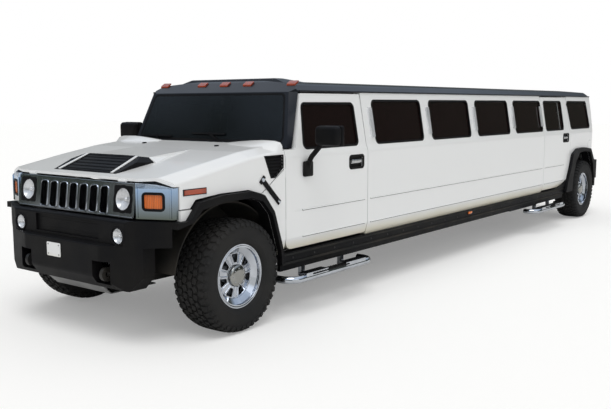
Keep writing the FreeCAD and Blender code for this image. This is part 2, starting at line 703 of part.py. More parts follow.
def opera_lamps():
    """Ribbed bright strips on the pillars between the side windows."""
    strips = []
    low = GLASS_LOW + S.opera_lift
    for number, (front, length) in enumerate(stretch_windows()):
        strips.append(opera_strip(f"opera_{number}", front + S.opera_gap, low))
    last = BACK_DOOR_FRONT + S.panel_gap + S.opera_gap / 2
    strips.append(opera_strip("opera_last", last, low))
    both = [mirror(item.Name + "_other", item) for item in strips]
    node("opera_lamps", group("opera_group", *strips, *both))


def opera_strip(name, rear, low):
    """Three upright ribs on one back plate, laid on the leaning glass line."""
    lean = S.roof_seam_inset - S.glass_low_inset
    slope = lean.value / (S.glass_rise + S.header_rise).value
    half = S.body_half_width - S.glass_low_inset
    foot = half - S.opera_lift * slope
    head = foot - S.opera_height * slope
    high = low + S.opera_height
    proud = S.opera_proud
    profile = [(foot, low), (foot + proud, low), (head + proud, high), (head, high)]
    strip = block("front", name + "_bar", profile, rear, rear + S.opera_width)
    gap = (S.opera_width - S.opera_rib * 3) / 2
    grooves = []
    for number in range(2):
        start = rear + S.opera_rib + (S.opera_rib + gap) * number
        inner = [(foot + proud / 3, low - proud), (foot + proud * 2, low - proud),
                 (head + proud * 2, high + proud), (head + proud / 3, high + proud)]
        grooves.append(block("front", f"{name}_groove_{number}", inner, start, start + gap))
    return cut(name, strip, *grooves)


def roof():
    """The roof shell with its crown, closed at both ends, and the front fairing."""
    half = S.body_half_width
    seam = half - S.roof_seam_inset
    edge = half - S.roof_edge_inset
    skin = S.roof_skin
    flat = edge * ROOF_FLAT_SHARE
    outer = [(-seam, ROOF_SEAM), (-edge, ROOF_EDGE, S.bend_radius),
             (-flat, ROOF_CROWN, S.crown_radius), (flat, ROOF_CROWN, S.crown_radius),
             (edge, ROOF_EDGE, S.bend_radius), (seam, ROOF_SEAM)]
    inner = [(-seam + skin, ROOF_SEAM), (-edge, ROOF_EDGE - skin), (edge, ROOF_EDGE - skin),
             (seam - skin, ROOF_SEAM)]
    front = FRONT - S.roof_front_aft
    shell = block("front", "roof_outer", outer, TAIL, front)
    side = [(front, ROOF_SEAM), (front - S.roof_front_run, ROOF_CROWN, S.roof_front_radius),
            (TAIL, ROOF_CROWN, S.roof_rear_radius), (TAIL, ROOF_SEAM)]
    shell = meet("roof_ends", shell, block("side", "roof_side", side, -half, half))
    plan = [(TAIL, -half), (front - S.roof_corner_run, -half),
            (front - S.roof_corner_run, -seam), (front, -seam + S.roof_corner_side),
            (front, seam - S.roof_corner_side), (front - S.roof_corner_run, seam),
            (front - S.roof_corner_run, half), (TAIL, half)]
    shell = meet("roof_corners", shell, block("plan", "roof_plan", plan, ROOF_SEAM, ROOF_CROWN))
    hollow = block("front", "roof_inner", inner, TAIL + S.header_depth,
                   front - S.roof_front_run)
    shell = cut("roof_shell", shell, hollow)
    nose = front - S.roof_front_run
    crest = ROOF_CROWN + S.fairing_rise
    deep = ROOF_EDGE
    fairing = [(nose, deep), (nose - S.fairing_nose, crest, S.fairing_rise),
               (nose - S.fairing_length / 3, crest, S.fairing_length / 5),
               (nose - S.fairing_length, deep)]
    foot = S.fairing_half_width
    head = S.fairing_top_half
    wing = meet("fairing_wing", block("side", "fairing", fairing, -foot, foot),
                block("front", "fairing_ends", [(-foot, deep), (foot, deep), (head, crest),
                                                (-head, crest)],
                      nose - S.fairing_length, nose))
    low = gate_pin_height() + S.gate_pin_radius + S.fit_gap
    ear = box("gate_ear", (TAIL - S.gate_pin_radius * 2, S.gate_pin_side, low),
              (TAIL + S.header_depth / 2, S.gate_pin_side + S.gate_pin_length,
               low + S.gate_pin_radius))
    node("roof_panel", fuse("roof_whole", shell, wing, ear, mirror("gate_ear_other", ear)))


def gate_pin_height():
    """The height of the liftgate's hinge line, midway in the gap below the roof."""
    return ROOF_SEAM - S.door_head_gap / 2


def marker_lamps():
    """Five amber lamps on the slope at the front of the roof."""
    front = FRONT - S.roof_front_aft
    slope = (ROOF_CROWN - ROOF_SEAM).value / S.roof_front_run.value
    fore = front - S.marker_aft
    aft = fore - S.marker_length
    low = ROOF_SEAM + S.marker_aft * slope + S.fit_gap * 2
    high = low + S.marker_length * slope
    rise = S.marker_height
    side = [(fore, low), (fore, low + rise / 2), (fore - rise / 2, low + rise),
            (aft, high + rise / 2), (aft, high)]
    lamps = []
    half = S.marker_width / 2
    for number, centre in enumerate((-S.marker_outer_half, -S.marker_spacing, ZERO,
                                     S.marker_spacing, S.marker_outer_half)):
        lamps.append(block("side", f"marker_{number}", side, centre - half, centre + half))
    node("marker_lamps", group("marker_group", *lamps))


def cowl_sides(wall):
    """The fixed panels between the front wheel and the door."""
    foot = S.sill_height
    gap = S.panel_gap
    arch = arch_outline(ARCH_FRONT_SHARES, FRONT, S.arch_reach, S.arch_rise)
    rear = DOOR_FRONT + gap
    hood_rear = FRONT - S.hood_rear_aft - gap
    flare = arch_outline(FLARE_FRONT_SHARES, FRONT, S.flare_rear, S.flare_top)
    corners = [(arch[1][0], foot), (rear, foot), (rear, GLASS_LOW + gap),
               (hood_rear, GLASS_LOW + gap), (hood_rear, BELT - S.hood_rear_drop),
               (flare[4][0], flare[4][1] - gap), (arch[4][0], arch[4][1]),
               (arch[3][0], arch[3][1]), (arch[2][0], arch[2][1])]
    shape = meet("cowl_skin", wall, block("side", "cowl_edge", corners,
                 S.body_half_width / 2, OUTSIDE))
    node("cowl_sides", pair("cowl_pair", shape))


def screen_slab(name, low, high):
    """A sheet parallel to the windscreen between two depths behind it."""
    foot = FRONT - S.screen_foot_aft
    base = GLASS_LOW + S.panel_gap
    top = ROOF_SEAM - S.fit_gap
    slope = S.screen_lean.value / (ROOF_SEAM - GLASS_LOW).value
    lean = (top - base) * slope
    corners = [(foot - low, base), (foot - low - lean, top), (foot - high - lean, top),
               (foot - high, base)]
    half = S.body_half_width
    return block("side", name, corners, -half, half)


def screen_outline(name, grow, x_low, x_high):
    """The windscreen's outline seen from ahead, grown by an amount."""
    low = GLASS_LOW + S.screen_foot_rise - grow
    high = ROOF_SEAM - S.screen_head_drop + grow * GROW_SHARE
    foot = S.body_half_width - S.screen_foot_inset + grow
    head = S.body_half_width - S.screen_head_inset + grow
    soft = S.glass_corner_radius
    corners = [(-foot, low, soft), (foot, low, soft), (head, high, soft), (-head, high, soft)]
    return block("front", name, corners, x_low, x_high)


def pillar_section(name, ahead, level, half, run):
    """The windscreen frame's plan at one level, its front corners cut back."""
    behind = ahead - S.screen_frame
    past = S.screen_frame / 2
    deep = run + run / 2
    corners = [(behind - past, -half), (behind, -half), (ahead, -half + run),
               (ahead + past, -half + deep), (ahead + past, half - deep), (ahead, half - run),
               (behind, half), (behind - past, half)]
    return sketch_on("plan", name, level, corners)


def windscreen():
    """The windscreen in its rebate, and the frame with both pillars."""
    ahead = FRONT - S.screen_foot_aft + S.overrun
    behind = FRONT - S.screen_foot_aft - S.screen_lean - S.screen_frame - S.overrun
    half = S.body_half_width
    base = GLASS_LOW + S.panel_gap
    top = ROOF_SEAM - S.fit_gap
    foot = FRONT - S.screen_foot_aft
    room = doc.addObject("Part::Loft", "pillar_room")
    room.Sections = [pillar_section("pillar_low", foot, base, half - S.pillar_proud,
                                    S.pillar_foot_run),
                     pillar_section("pillar_high", foot - S.screen_lean, top,
                                    half - S.roof_seam_inset, S.pillar_head_run)]
    room.Solid = True
    room.Ruled = True
    frame = meet("screen_frame_slab", screen_slab("screen_deep", ZERO, S.screen_frame), room)
    pocket = meet("screen_pocket", screen_slab("screen_rebate", -S.overrun, S.glass_thickness),
                  screen_outline("screen_rebate_edge", S.fit_gap, behind, ahead))
    hole = screen_outline("screen_hole", -S.screen_flange, behind, ahead)
    node("windscreen_frame", cut("screen_frame_cut", frame, pocket, hole))
    glass = meet("screen_glass", screen_slab("screen_sheet", ZERO, S.glass_thickness),
                 screen_outline("screen_glass_edge", ZERO, behind, ahead))
    node("windscreen", glass)


def wipers():
    """Two wiper arms that rise from the cowl and lie before the glass."""
    items = []
    base = GLASS_LOW + S.panel_gap
    foot = FRONT - S.screen_foot_aft + S.wiper_ahead
    ahead = FRONT - S.screen_foot_aft + S.overrun
    behind = FRONT - S.screen_foot_aft - S.screen_lean - S.overrun
    thin = S.wiper_radius
    pair_of_arms = ((S.wiper_left_side, S.wiper_left_run, S.wiper_left_rise),
                    (-S.wiper_right_side, S.wiper_right_run, S.wiper_right_rise))
    for number, (start, run, rise) in enumerate(pair_of_arms):
        tip = start - run
        high = base + rise
        arm = [(start - thin, base), (start + thin, base), (tip + thin, high + thin),
               (tip - thin, high)]
        near = tip + S.blade_length / 2
        far = tip - S.blade_length / 2
        blade = [(far, high - S.blade_height), (near, high - S.blade_height), (near, high),
                 (far, high)]
        shapes = [meet(f"wiper_{word}_{number}",
                       screen_slab(f"wiper_{word}_slab_{number}", -S.wiper_depth - S.wiper_gap,
                                   -S.wiper_gap),
                       block("front", f"wiper_{word}_edge_{number}", outline, behind, ahead))
                  for word, outline in (("arm", arm), ("blade", blade))]
        post = rod(f"wiper_post_{number}", "z", (foot - thin, start, base - S.wiper_foot_drop),
                   thin, S.wiper_foot_drop + thin * 2)
        items.append(fuse(f"wiper_{number}", post, *shapes))
    node("wipers", group("wiper_group", *items))


def hood_height(ahead):
    """The height of the hood's flat top at a distance ahead of the front axle."""
    slope = (HOOD_BREAK_TOP - HOOD_FRONT_TOP).value
    run = (S.hood_front_ahead - S.hood_break_ahead).value
    return HOOD_FRONT_TOP + (S.hood_front_ahead - ahead) * (slope / run)


def hood_section(name, station, half, height, skin):
    """One cross-section of the hood, with a bevel along each upper edge."""
    low = S.sill_height
    soft = S.hood_corner_radius
    edge = half - skin
    top = height - skin
    corners = [(-edge, low), (edge, low), (edge, top - S.hood_bevel_rise, soft / 2),
               (edge - S.hood_bevel_run, top, soft), (-edge + S.hood_bevel_run, top, soft),
               (-edge, top - S.hood_bevel_rise, soft / 2)]
    return sketch_on("front", name, station, corners)


def hood_loft(name, skin):
    """The hood's full form at a depth below its skin."""
    half = S.body_half_width
    stations = [(FRONT + S.hood_front_ahead, half - S.hood_front_inset, HOOD_FRONT_TOP),
                (FRONT + S.hood_break_ahead, half, HOOD_BREAK_TOP),
                (FRONT - S.hood_middle_aft, half, HOOD_MIDDLE_TOP),
                (FRONT - S.hood_rear_aft, half, HOOD_REAR_TOP)]
    item = doc.addObject("Part::Loft", name)
    item.Sections = [hood_section(f"{name}_{number}", *station, skin)
                     for number, station in enumerate(stations)]
    item.Solid = True
    item.Ruled = True
    return item


def fender_seam(flare):
    """The point on the flare's front edge where the hood's fender ends."""
    fore, aft = flare[8], flare[7]
    return [aft[axis] + (fore[axis] - aft[axis]) * FENDER_SEAM_SHARE for axis in (0, 1)]


def vent_outline():
    """The five-cornered vent behind the front wheel's flare."""
    fore = FRONT - S.vent_front_aft
    aft = FRONT - S.vent_rear_aft
    foot = fore - S.vent_foot_inset
    return [(fore, S.vent_head_height), (aft, S.vent_head_height), (aft, S.vent_side_height),
            (foot - S.vent_foot_length, S.vent_foot_height), (foot, S.vent_foot_height)]


def hood_bulge():
    """The raised middle of the hood behind the scoop."""
    fore = S.scoop_tail_ahead
    aft = -S.bulge_tail_aft
    under = S.hood_skin / 2
    start = hood_height(fore)
    crest = start + S.scoop_tail_rise
    end = HOOD_MIDDLE_TOP + (HOOD_REAR_TOP - HOOD_MIDDLE_TOP) * GROW_SHARE
    side = [(FRONT + fore, start - under), (FRONT + fore, crest), (FRONT + aft, end),
            (FRONT + aft, end - under), (FRONT - S.hood_middle_aft, HOOD_MIDDLE_TOP - under),
            (FRONT + S.hood_break_ahead, HOOD_BREAK_TOP - under)]
    foot = S.bulge_foot_half
    head = S.bulge_top_half
    low = start - S.hood_skin
    ends = [(-foot, low), (foot, low), (foot, start), (head, crest), (head, end), (-head, end),
            (-head, crest), (-foot, start)]
    return meet("bulge", block("side", "bulge_side", side, -foot, foot),
                block("front", "bulge_ends", ends, FRONT + aft, FRONT + fore))


def hood():
    """The tilting front clip: top, fender sides down to the flares, bulge and vents."""
    gap = S.panel_gap
    flare = arch_outline(FLARE_FRONT_SHARES, FRONT, S.flare_rear, S.flare_top)
    toe, seam = fender_seam(flare)
    top = HOOD_REAR_TOP + S.overrun
    front = FRONT + S.hood_front_ahead
    rear = FRONT - S.hood_rear_aft
    lip = S.grille_foot + S.grille_rise - S.bezel_drop + gap
    end = FRONT + S.bezel_back_ahead - gap
    side = [(front, top), (front, lip), (end, lip), (end, seam), (toe + gap * 2, seam),
            (flare[7][0], flare[7][1] + gap * 2), (flare[6][0], flare[6][1] + gap),
            (flare[5][0], flare[5][1] + gap), (flare[4][0] - gap, flare[4][1] + gap),
            (rear, BELT - S.hood_rear_drop + gap), (rear, top)]
    half = S.body_half_width
    outline = block("side", "hood_side", side, -half, half)
    shell = cut("hood_hollow", hood_loft("hood_outer", ZERO), hood_loft("hood_inner", S.hood_skin))
    shape = meet("hood_shell", shell, outline)
    inner = half - S.hood_front_inset - S.hood_corner_side
    side_front = front - S.hood_corner_run
    plan = [(rear, -half), (side_front, -half), (side_front, -half + S.hood_front_inset),
            (front, -inner), (front, inner), (side_front, half - S.hood_front_inset),
            (side_front, half), (rear, half)]
    shape = meet("hood_corners", shape, block("plan", "hood_plan", plan, S.sill_height, top))
    recess = block("side", "vent_recess", vent_outline(), half - S.vent_depth, OUTSIDE)
    shape = cut("hood_cut", shape, recess, mirror("vent_recess_other", recess))
    start = (FRONT + S.hood_pin_ahead, S.hood_pin_side,
             S.grille_foot + S.grille_rise + S.fit_gap + S.hood_pin_radius)
    pin = rod("hood_pin", "y", start, S.hood_pin_radius, S.hood_pin_length)
    node("hood", fuse("hood_whole", shape, hood_bulge(), pin, mirror("hood_pin_other", pin)))


def hood_scoop():
    """The black wedge on the hood, with cross slots in its sloping face."""
    gap = S.fit_gap
    nose = S.scoop_nose_ahead
    crest = S.scoop_crest_ahead
    tail = S.scoop_tail_ahead
    start = hood_height(nose) + gap
    foot = hood_height(tail) + gap
    high = hood_height(crest) + S.scoop_rise
    end = FRONT + tail + gap
    side = [(FRONT + nose, start), (FRONT + crest, high), (end, foot + S.scoop_tail_rise),
            (end, foot)]
    wide = S.scoop_rear_half
    body = block("side", "scoop_side", side, -wide, wide)
    plan = [(FRONT + nose, -S.scoop_front_half), (FRONT + tail, -wide), (FRONT + tail, wide),
            (FRONT + nose, S.scoop_front_half)]
    body = meet("scoop_body", body, block("plan", "scoop_plan", plan, S.sill_height, BELT * 2))
    head = S.scoop_crest_half
    ends = [(-wide, start), (wide, start), (wide, foot), (head, high), (-head, high), (-wide, foot)]
    body = meet("scoop_sides", body,
                block("front", "scoop_ends", ends, FRONT + tail, FRONT + nose))
    slots = []
    span = S.scoop_slot_half
    for number, share in enumerate(SCOOP_SLOT_SHARES):
        fore = FRONT + nose + (crest - nose) * share
        top = start + (high - start) * share
        slots.append(box(f"scoop_slot_{number}", (fore - S.scoop_slot_length, -span,
                                                  top - S.scoop_slot_depth),
                         (fore, span, high + S.overrun)))
    node("hood_scoop", cut("scoop_cut", body, *slots))


def grille_back():
    """The upright rear plane of the grille plate."""
    return FRONT + S.grille_face_ahead - S.grille_lean - S.grille_thickness


def grille():
    """The bright grille plate with upright slots and round lamp holes."""
    face = FRONT + S.grille_face_ahead
    back = grille_back()
    foot = S.grille_foot
    top = foot + S.grille_rise
    soft = S.grille_corner
    low_half = S.body_half_width - S.grille_foot_inset
    top_half = S.body_half_width - S.grille_top_inset
    outline = [(-low_half, foot, soft), (low_half, foot, soft), (top_half, top, soft),
               (-top_half, top, soft)]
    leaning = [(back, foot), (face, foot), (face - S.grille_lean, top), (back, top)]
    plate = meet("grille_plate", block("front", "grille_outline", outline, back, face),
                 block("side", "grille_lean", leaning, -top_half, top_half))
    tools = []
    low = foot + S.slot_foot_rise
    for number in range(SLOT_COUNT):
        centre = S.slot_pitch * (number - (SLOT_COUNT - 1) / 2)
        half = S.slot_width / 2
        round_off = S.slot_width / 4
        slot = [(centre - half, low, round_off), (centre + half, low, round_off),
                (centre + half, low + S.slot_height, round_off),
                (centre - half, low + S.slot_height, round_off)]
        tools.append(block("front", f"grille_slot_{number}", slot, back - S.overrun,
                           face + S.overrun))
    for side in (-1, 1):
        start = (back - S.overrun, S.lamp_spacing * side, foot + S.lamp_rise)
        tools.append(rod(f"lamp_hole_{side + 1}", "x", start, S.lamp_radius,
                         S.grille_thickness + S.overrun * 3))
    node("radiator_grille", cut("grille_cut", plate, *tools))
    lamps = []
    for side in (-1, 1):
        start = (back, S.lamp_spacing * side, foot + S.lamp_rise)
        lamps.append(rod(f"head_lamp_{side + 1}", "x", start, S.lamp_radius - S.fit_gap,
                         S.grille_thickness + S.turn_sink))
    for side in (-1, 1):
        start = (FRONT + S.bumper_face_ahead - S.bumper_shell, S.fog_spacing * side, S.fog_height)
        lamps.append(rod(f"fog_lamp_{side + 1}", "x", start, S.fog_radius - S.fit_gap,
                         S.bumper_shell - S.turn_sink))
    node("front_lamps", group("front_lamp_group", *lamps))


def bezel_strip(name, near, far, ahead, behind, low, high):
    """A slab along the bezel's raked face, between two distances from its inner edge."""
    inner = S.body_half_width - S.bezel_inset
    outer = S.body_half_width - S.hood_front_inset
    run = (S.bezel_face_ahead - S.bezel_tip_ahead).value
    rise = (outer - inner).value
    length = math.hypot(run, rise)
    corners = []
    for along, off in ((near, ahead), (far, ahead), (far, behind), (near, behind)):
        corners.append((FRONT + S.bezel_face_ahead - along * (run / length) + off * (rise / length),
                        inner + along * (rise / length) + off * (run / length)))
    return block("plan", name, corners, low, high)


def lamp_bezels():
    """Bright corner housings, raked back to the side, with the amber turn lamps."""
    inner = S.body_half_width - S.bezel_inset
    outer = S.body_half_width - S.hood_front_inset
    back = FRONT + S.bezel_back_ahead
    foot = S.grille_foot
    top = foot + S.grille_rise
    plan = [(back, inner), (FRONT + S.bezel_face_ahead, inner),
            (FRONT + S.bezel_tip_ahead, outer, S.bezel_corner), (back, outer)]
    ends = [(inner, foot), (outer, foot), (outer, top - S.bezel_drop),
            (outer - S.hood_bevel_run - S.wall, top), (inner, top)]
    shell = meet("bezel_shell", block("plan", "bezel_plan", plan, foot, top),
                 block("front", "bezel_ends", ends, back, FRONT + S.bezel_face_ahead))
    low = foot + S.turn_rise
    high = low + S.turn_height
    near = S.turn_inset
    far = near + S.turn_length
    recess = bezel_strip("turn_recess", near, far, S.overrun, -S.turn_depth, low, high)
    node("lamp_bezels", pair("bezel_pair", cut("bezel", shell, recess)))
    fit = S.fit_gap
    lamp = bezel_strip("turn_lamp", near + fit, far - fit, -S.turn_sink, -S.turn_depth,
                       low + fit, high - fit)
    node("turn_lamps", pair("turn_lamp_pair", lamp))
    flare = arch_outline(FLARE_FRONT_SHARES, FRONT, S.flare_rear, S.flare_top)
    toe, seam = fender_seam(flare)
    edge = seam - S.panel_gap
    panel = [(back - fit, S.bumper_top_height + fit), (back - fit, edge),
             (crossing(flare[7], flare[8], edge) + fit, edge),
             (crossing(flare[7], flare[8], S.bumper_top_height) + fit, S.bumper_top_height + fit)]
    fender = block("side", "corner_panel", panel, outer - S.hood_skin, S.body_half_width)
    node("corner_panels", pair("corner_pair", fender))


def front_bumper():
    """The moulded front bumper, hollow behind, with its recesses and lamp holes."""
    face = FRONT + S.bumper_face_ahead
    nose = FRONT + S.front_overhang
    rear = FRONT + S.rail_front_ahead + S.fit_gap
    top = S.bumper_top_height
    side = [(rear, top), (face, top, S.bumper_shell / 2), (face, S.bumper_ledge_height),
            (nose, S.bumper_ledge_height - S.panel_gap, S.panel_gap),
            (nose, S.bumper_low_height, S.bumper_shell), (face, S.bumper_foot_height),
            (rear, S.bumper_foot_height)]
    half = S.body_half_width - S.bumper_inset
    shape = block("side", "bumper_side", side, -half, half)
    soft = S.bumper_shell
    tip = S.bumper_nose_half
    bend = S.bumper_ledge_half
    ledge = nose - S.bumper_ledge_run
    plan = [(rear, -half), (ledge, -bend, soft), (nose, -tip, soft * 2), (nose, tip, soft * 2),
            (ledge, bend, soft), (rear, half)]
    shape = meet("bumper_form", shape, block("plan", "bumper_plan", plan, ZERO, BELT))
    shoulder = S.bumper_side_half
    wing = S.bumper_ledge_height
    ends = [(-half, top), (-half, wing), (-shoulder, wing - S.panel_gap, S.panel_gap),
            (-shoulder, S.bumper_side_height, soft), (-S.bumper_low_half, S.bumper_foot_height),
            (S.bumper_low_half, S.bumper_foot_height), (shoulder, S.bumper_side_height, soft),
            (shoulder, wing - S.panel_gap, S.panel_gap), (half, wing), (half, top)]
    shape = meet("bumper_ends", shape, block("front", "bumper_ends_outline", ends, rear, nose))
    shell = S.bumper_shell
    hollow = [(rear - shell, S.bumper_foot_height + shell),
              (face - shell, S.bumper_foot_height + shell),
              (nose - shell * 2, S.bumper_low_height + shell), (nose - shell * 2, top - shell * 2),
              (rear - shell, top - shell * 2)]
    inside = block("side", "bumper_hollow", hollow, -S.bumper_room_half, S.bumper_room_half)
    low = S.bumper_ledge_height + shell / 2
    panel = box("bumper_panel", (face - S.bumper_recess_depth, -S.bumper_recess_half, low),
                (nose, S.bumper_recess_half, low + S.bumper_recess_height))
    tools = [inside, panel]
    for side_sign in (-1, 1):
        start = (rear, S.fog_spacing * side_sign, S.fog_height)
        tools.append(rod(f"fog_hole_{side_sign + 1}", "x", start, S.fog_radius,
                         S.front_overhang - S.rail_front_ahead))
        centre = S.hook_spacing * side_sign
        gap = S.hook_radius + S.hook_bar * 2
        tools.append(box(f"hook_hole_{side_sign + 1}", (rear, centre - gap, S.hook_height - gap),
                         (nose + shell, centre + gap, S.hook_height + gap)))
    node("front_bumper", cut("bumper_cut", shape, *tools))


def skid_plate():
    """The grey plate that slopes back under the engine."""
    front = FRONT + S.bumper_face_ahead - S.bumper_shell
    foot = S.bumper_foot_height - S.fit_gap
    thick = S.skid_thickness
    rear = front - S.skid_length
    side = [(front, foot), (front, foot - thick), (front - S.skid_drop, foot - S.skid_drop),
            (rear, foot - S.skid_drop), (rear, foot - S.skid_drop + thick),
            (front - S.skid_drop, foot - S.skid_drop + thick),
            (front - thick, foot)]
    plate = block("side", "skid_side", side, -S.skid_half_width, S.skid_half_width)
    node("skid_plate", plate)


def rear_bumper():
    """The rear bumper with its tread and the ends wrapped to the flares."""
    nose = REAR - S.rear_overhang
    front = TAIL + S.rear_bumper_ahead
    low = S.rear_bumper_foot
    top = low + S.rear_bumper_rise
    half = S.body_half_width
    side = [(front, low), (front, top), (nose, top, S.bumper_shell),
            (nose, low, S.bumper_shell * 2)]
    shape = block("side", "rear_bumper_side", side, -half, half)
    plan = [(front, -half), (front, half), (nose, half, S.rear_bumper_corner),
            (nose, -half, S.rear_bumper_corner)]
    shape = meet("rear_bumper_form", shape, block("plan", "rear_bumper_plan", plan, ZERO, BELT))
    inner = box("rear_bumper_inner", (front - S.rear_bumper_ahead - S.bumper_shell,
                -half + S.wall + S.sill_inset, low - S.overrun),
                (front + S.overrun, half - S.wall - S.sill_inset, top + S.overrun))
    notch = box("rear_bumper_notch", (TAIL - S.fit_gap, -half - S.overrun, low - S.overrun),
                (front + S.overrun, half + S.overrun, top + S.overrun))
    step = box("rear_bumper_step", (nose - S.overrun, -S.step_half_width, top - S.step_depth),
               (TAIL - S.bumper_shell, S.step_half_width, top + S.overrun))
    node("rear_bumper", cut("rear_bumper_cut", shape, inner, notch, step))


def flares():
    """The four black wheel-arch flares."""
    skin = S.body_half_width + S.fit_gap
    inner = LINER_HALF + S.fit_gap
    outer = S.body_half_width + S.flare_reach
    items = []
    front_out = arch_outline(FLARE_FRONT_SHARES, FRONT, S.flare_rear, S.flare_top)
    front_out[-1] = (FRONT + S.flare_front, front_out[-2][1])
    front_in = arch_outline(ARCH_FRONT_SHARES, FRONT, S.arch_reach, S.arch_rise)
    front_in[-1] = (FRONT + S.flare_front, front_out[-2][1] - S.flare_reach)
    front_flare = block("side", "front_flare", front_out + front_in[::-1], inner, outer)
    behind = box("cowl_room", (FRONT - S.wheelbase, inner - S.overrun, ZERO),
                 (FRONT, skin, GLASS_LOW))
    items.append(cut("front_flare_cut", front_flare, behind))
    rear_out = arch_outline(FLARE_REAR_SHARES, REAR, S.arch_reach, S.flare_top)
    rear_in = arch_outline(ARCH_REAR_SHARES, REAR, S.arch_reach, S.arch_rise)
    items.append(block("side", "rear_flare", rear_out + rear_in[::-1], skin, outer))
    both = [mirror(item.Name + "_other", item) for item in items]
    node("wheel_flares", group("flare_group", *items, *both))


def sills():
    """The black cladding and the lower rail between the wheels."""
    front = FRONT - S.flare_rear - S.panel_gap
    rear = REAR + S.arch_reach * FLARE_REAR_SHARES[0][0] + S.panel_gap
    top = S.sill_height - S.fit_gap
    out = S.body_half_width
    side = [(out - S.wall - S.sill_inset, top), (out, top), (out, top - S.sill_drop),
            (out - S.rail_inset, top - S.sill_drop),
            (out - S.rail_inset, top - S.rail_drop), (out - S.rail_inset - S.sill_thickness,
                                                       top - S.rail_drop),
            (out - S.rail_inset - S.sill_thickness, top - S.sill_thickness),
            (out - S.wall - S.sill_inset, top - S.sill_thickness)]
    strip = block("front", "sill_strip", side, rear, front)
    node("sill_claddings", pair("sill_pair", strip))


def step_bend(name, x, side):
    """A quarter bend that turns a step's tube in under the sill."""
    bend = doc.addObject("Part::Torus", name)
    bind(bend, "Radius1", S.step_bend)
    bind(bend, "Radius2", S.step_tube)
    bend.Angle3 = 90
    bend.Placement = Placement(Vector(), Rotation(Vector(0, 0, 1), 0 if side > 0 else 90))
    return place(bend, x, S.body_half_width + S.step_out - S.step_bend, S.step_height)


def side_step(name, front, length):
    """One bent tube step with its brackets and tread pads."""
    inner = S.body_half_width - S.rail_inset - S.sill_thickness
    outer = S.body_half_width + S.step_out
    tube = S.step_tube
    fore = front - S.step_bend
    aft = front - length + S.step_bend
    parts = [rod(name + "_tube", "x", (aft, outer, S.step_height), tube, fore - aft)]
    for word, side, turn, end in (("front", 1, fore, front), ("rear", -1, aft, front - length)):
        parts.append(step_bend(f"{name}_{word}_bend", turn, side))
        parts.append(rod(f"{name}_{word}_stub", "y", (end, inner, S.step_height), tube,
                         outer - S.step_bend - inner))
    for number, along in enumerate((S.bracket_inset, length - S.bracket_inset)):
        start = front - along - S.bracket_width / 2
        parts.append(box(f"{name}_bracket_{number}", (start, inner, S.step_height - S.hook_bar),
                         (start + S.bracket_width, outer, S.step_height + S.hook_bar)))
        top = S.sill_height - S.rail_drop - S.fit_gap
        parts.append(box(f"{name}_hanger_{number}", (start, inner, S.step_height - S.hook_bar),
                         (start + S.bracket_width, inner + S.sill_thickness, top)))
        middle = front - along
        parts.append(box(f"{name}_pad_{number}",
                         (middle - S.pad_length / 2, outer - S.pad_width / 2, S.step_height),
                         (middle + S.pad_length / 2, outer + S.pad_width / 4,
                          S.step_height + S.step_tube + S.pad_rise)))
    return fuse(name, *parts)


def side_steps():
    """The four bright steps below the doors."""
    front = side_step("front_step", FRONT - S.front_step_aft, S.front_step_length)
    back = side_step("rear_step", REAR + S.rear_step_ahead, S.rear_step_length)
    node("side_steps", group("step_group", front, back, mirror("front_step_other", front),
                             mirror("rear_step_other", back)))


def mirrors():
    """The boxy mirrors on angled arms, one on each front door."""
    centre = DOOR_FRONT - S.mirror_aft
    skin = S.body_half_width + S.fit_gap
    out = skin + S.mirror_out
    foot = S.mirror_height
    head = foot + S.mirror_lift
    half = S.mirror_arm / 2
    front = [(out, head, S.mirror_radius), (out + S.mirror_width, head, S.mirror_radius),
             (out + S.mirror_width, head + S.mirror_tall, S.mirror_radius),
             (out, head + S.mirror_tall, S.mirror_radius)]
    shell = block("front", "mirror_head", front, centre - S.mirror_length / 2,
                  centre + S.mirror_length / 2)
    arm = [(skin, foot), (skin, foot + S.mirror_foot), (out + half, head + half),
           (out + S.mirror_arm, head)]
    post = block("front", "mirror_post", arm, centre - half, centre + half)
    whole = fuse("mirror_whole", shell, post)
    node("mirror_left", whole)
    node("mirror_right", mirror("mirror_other", whole))


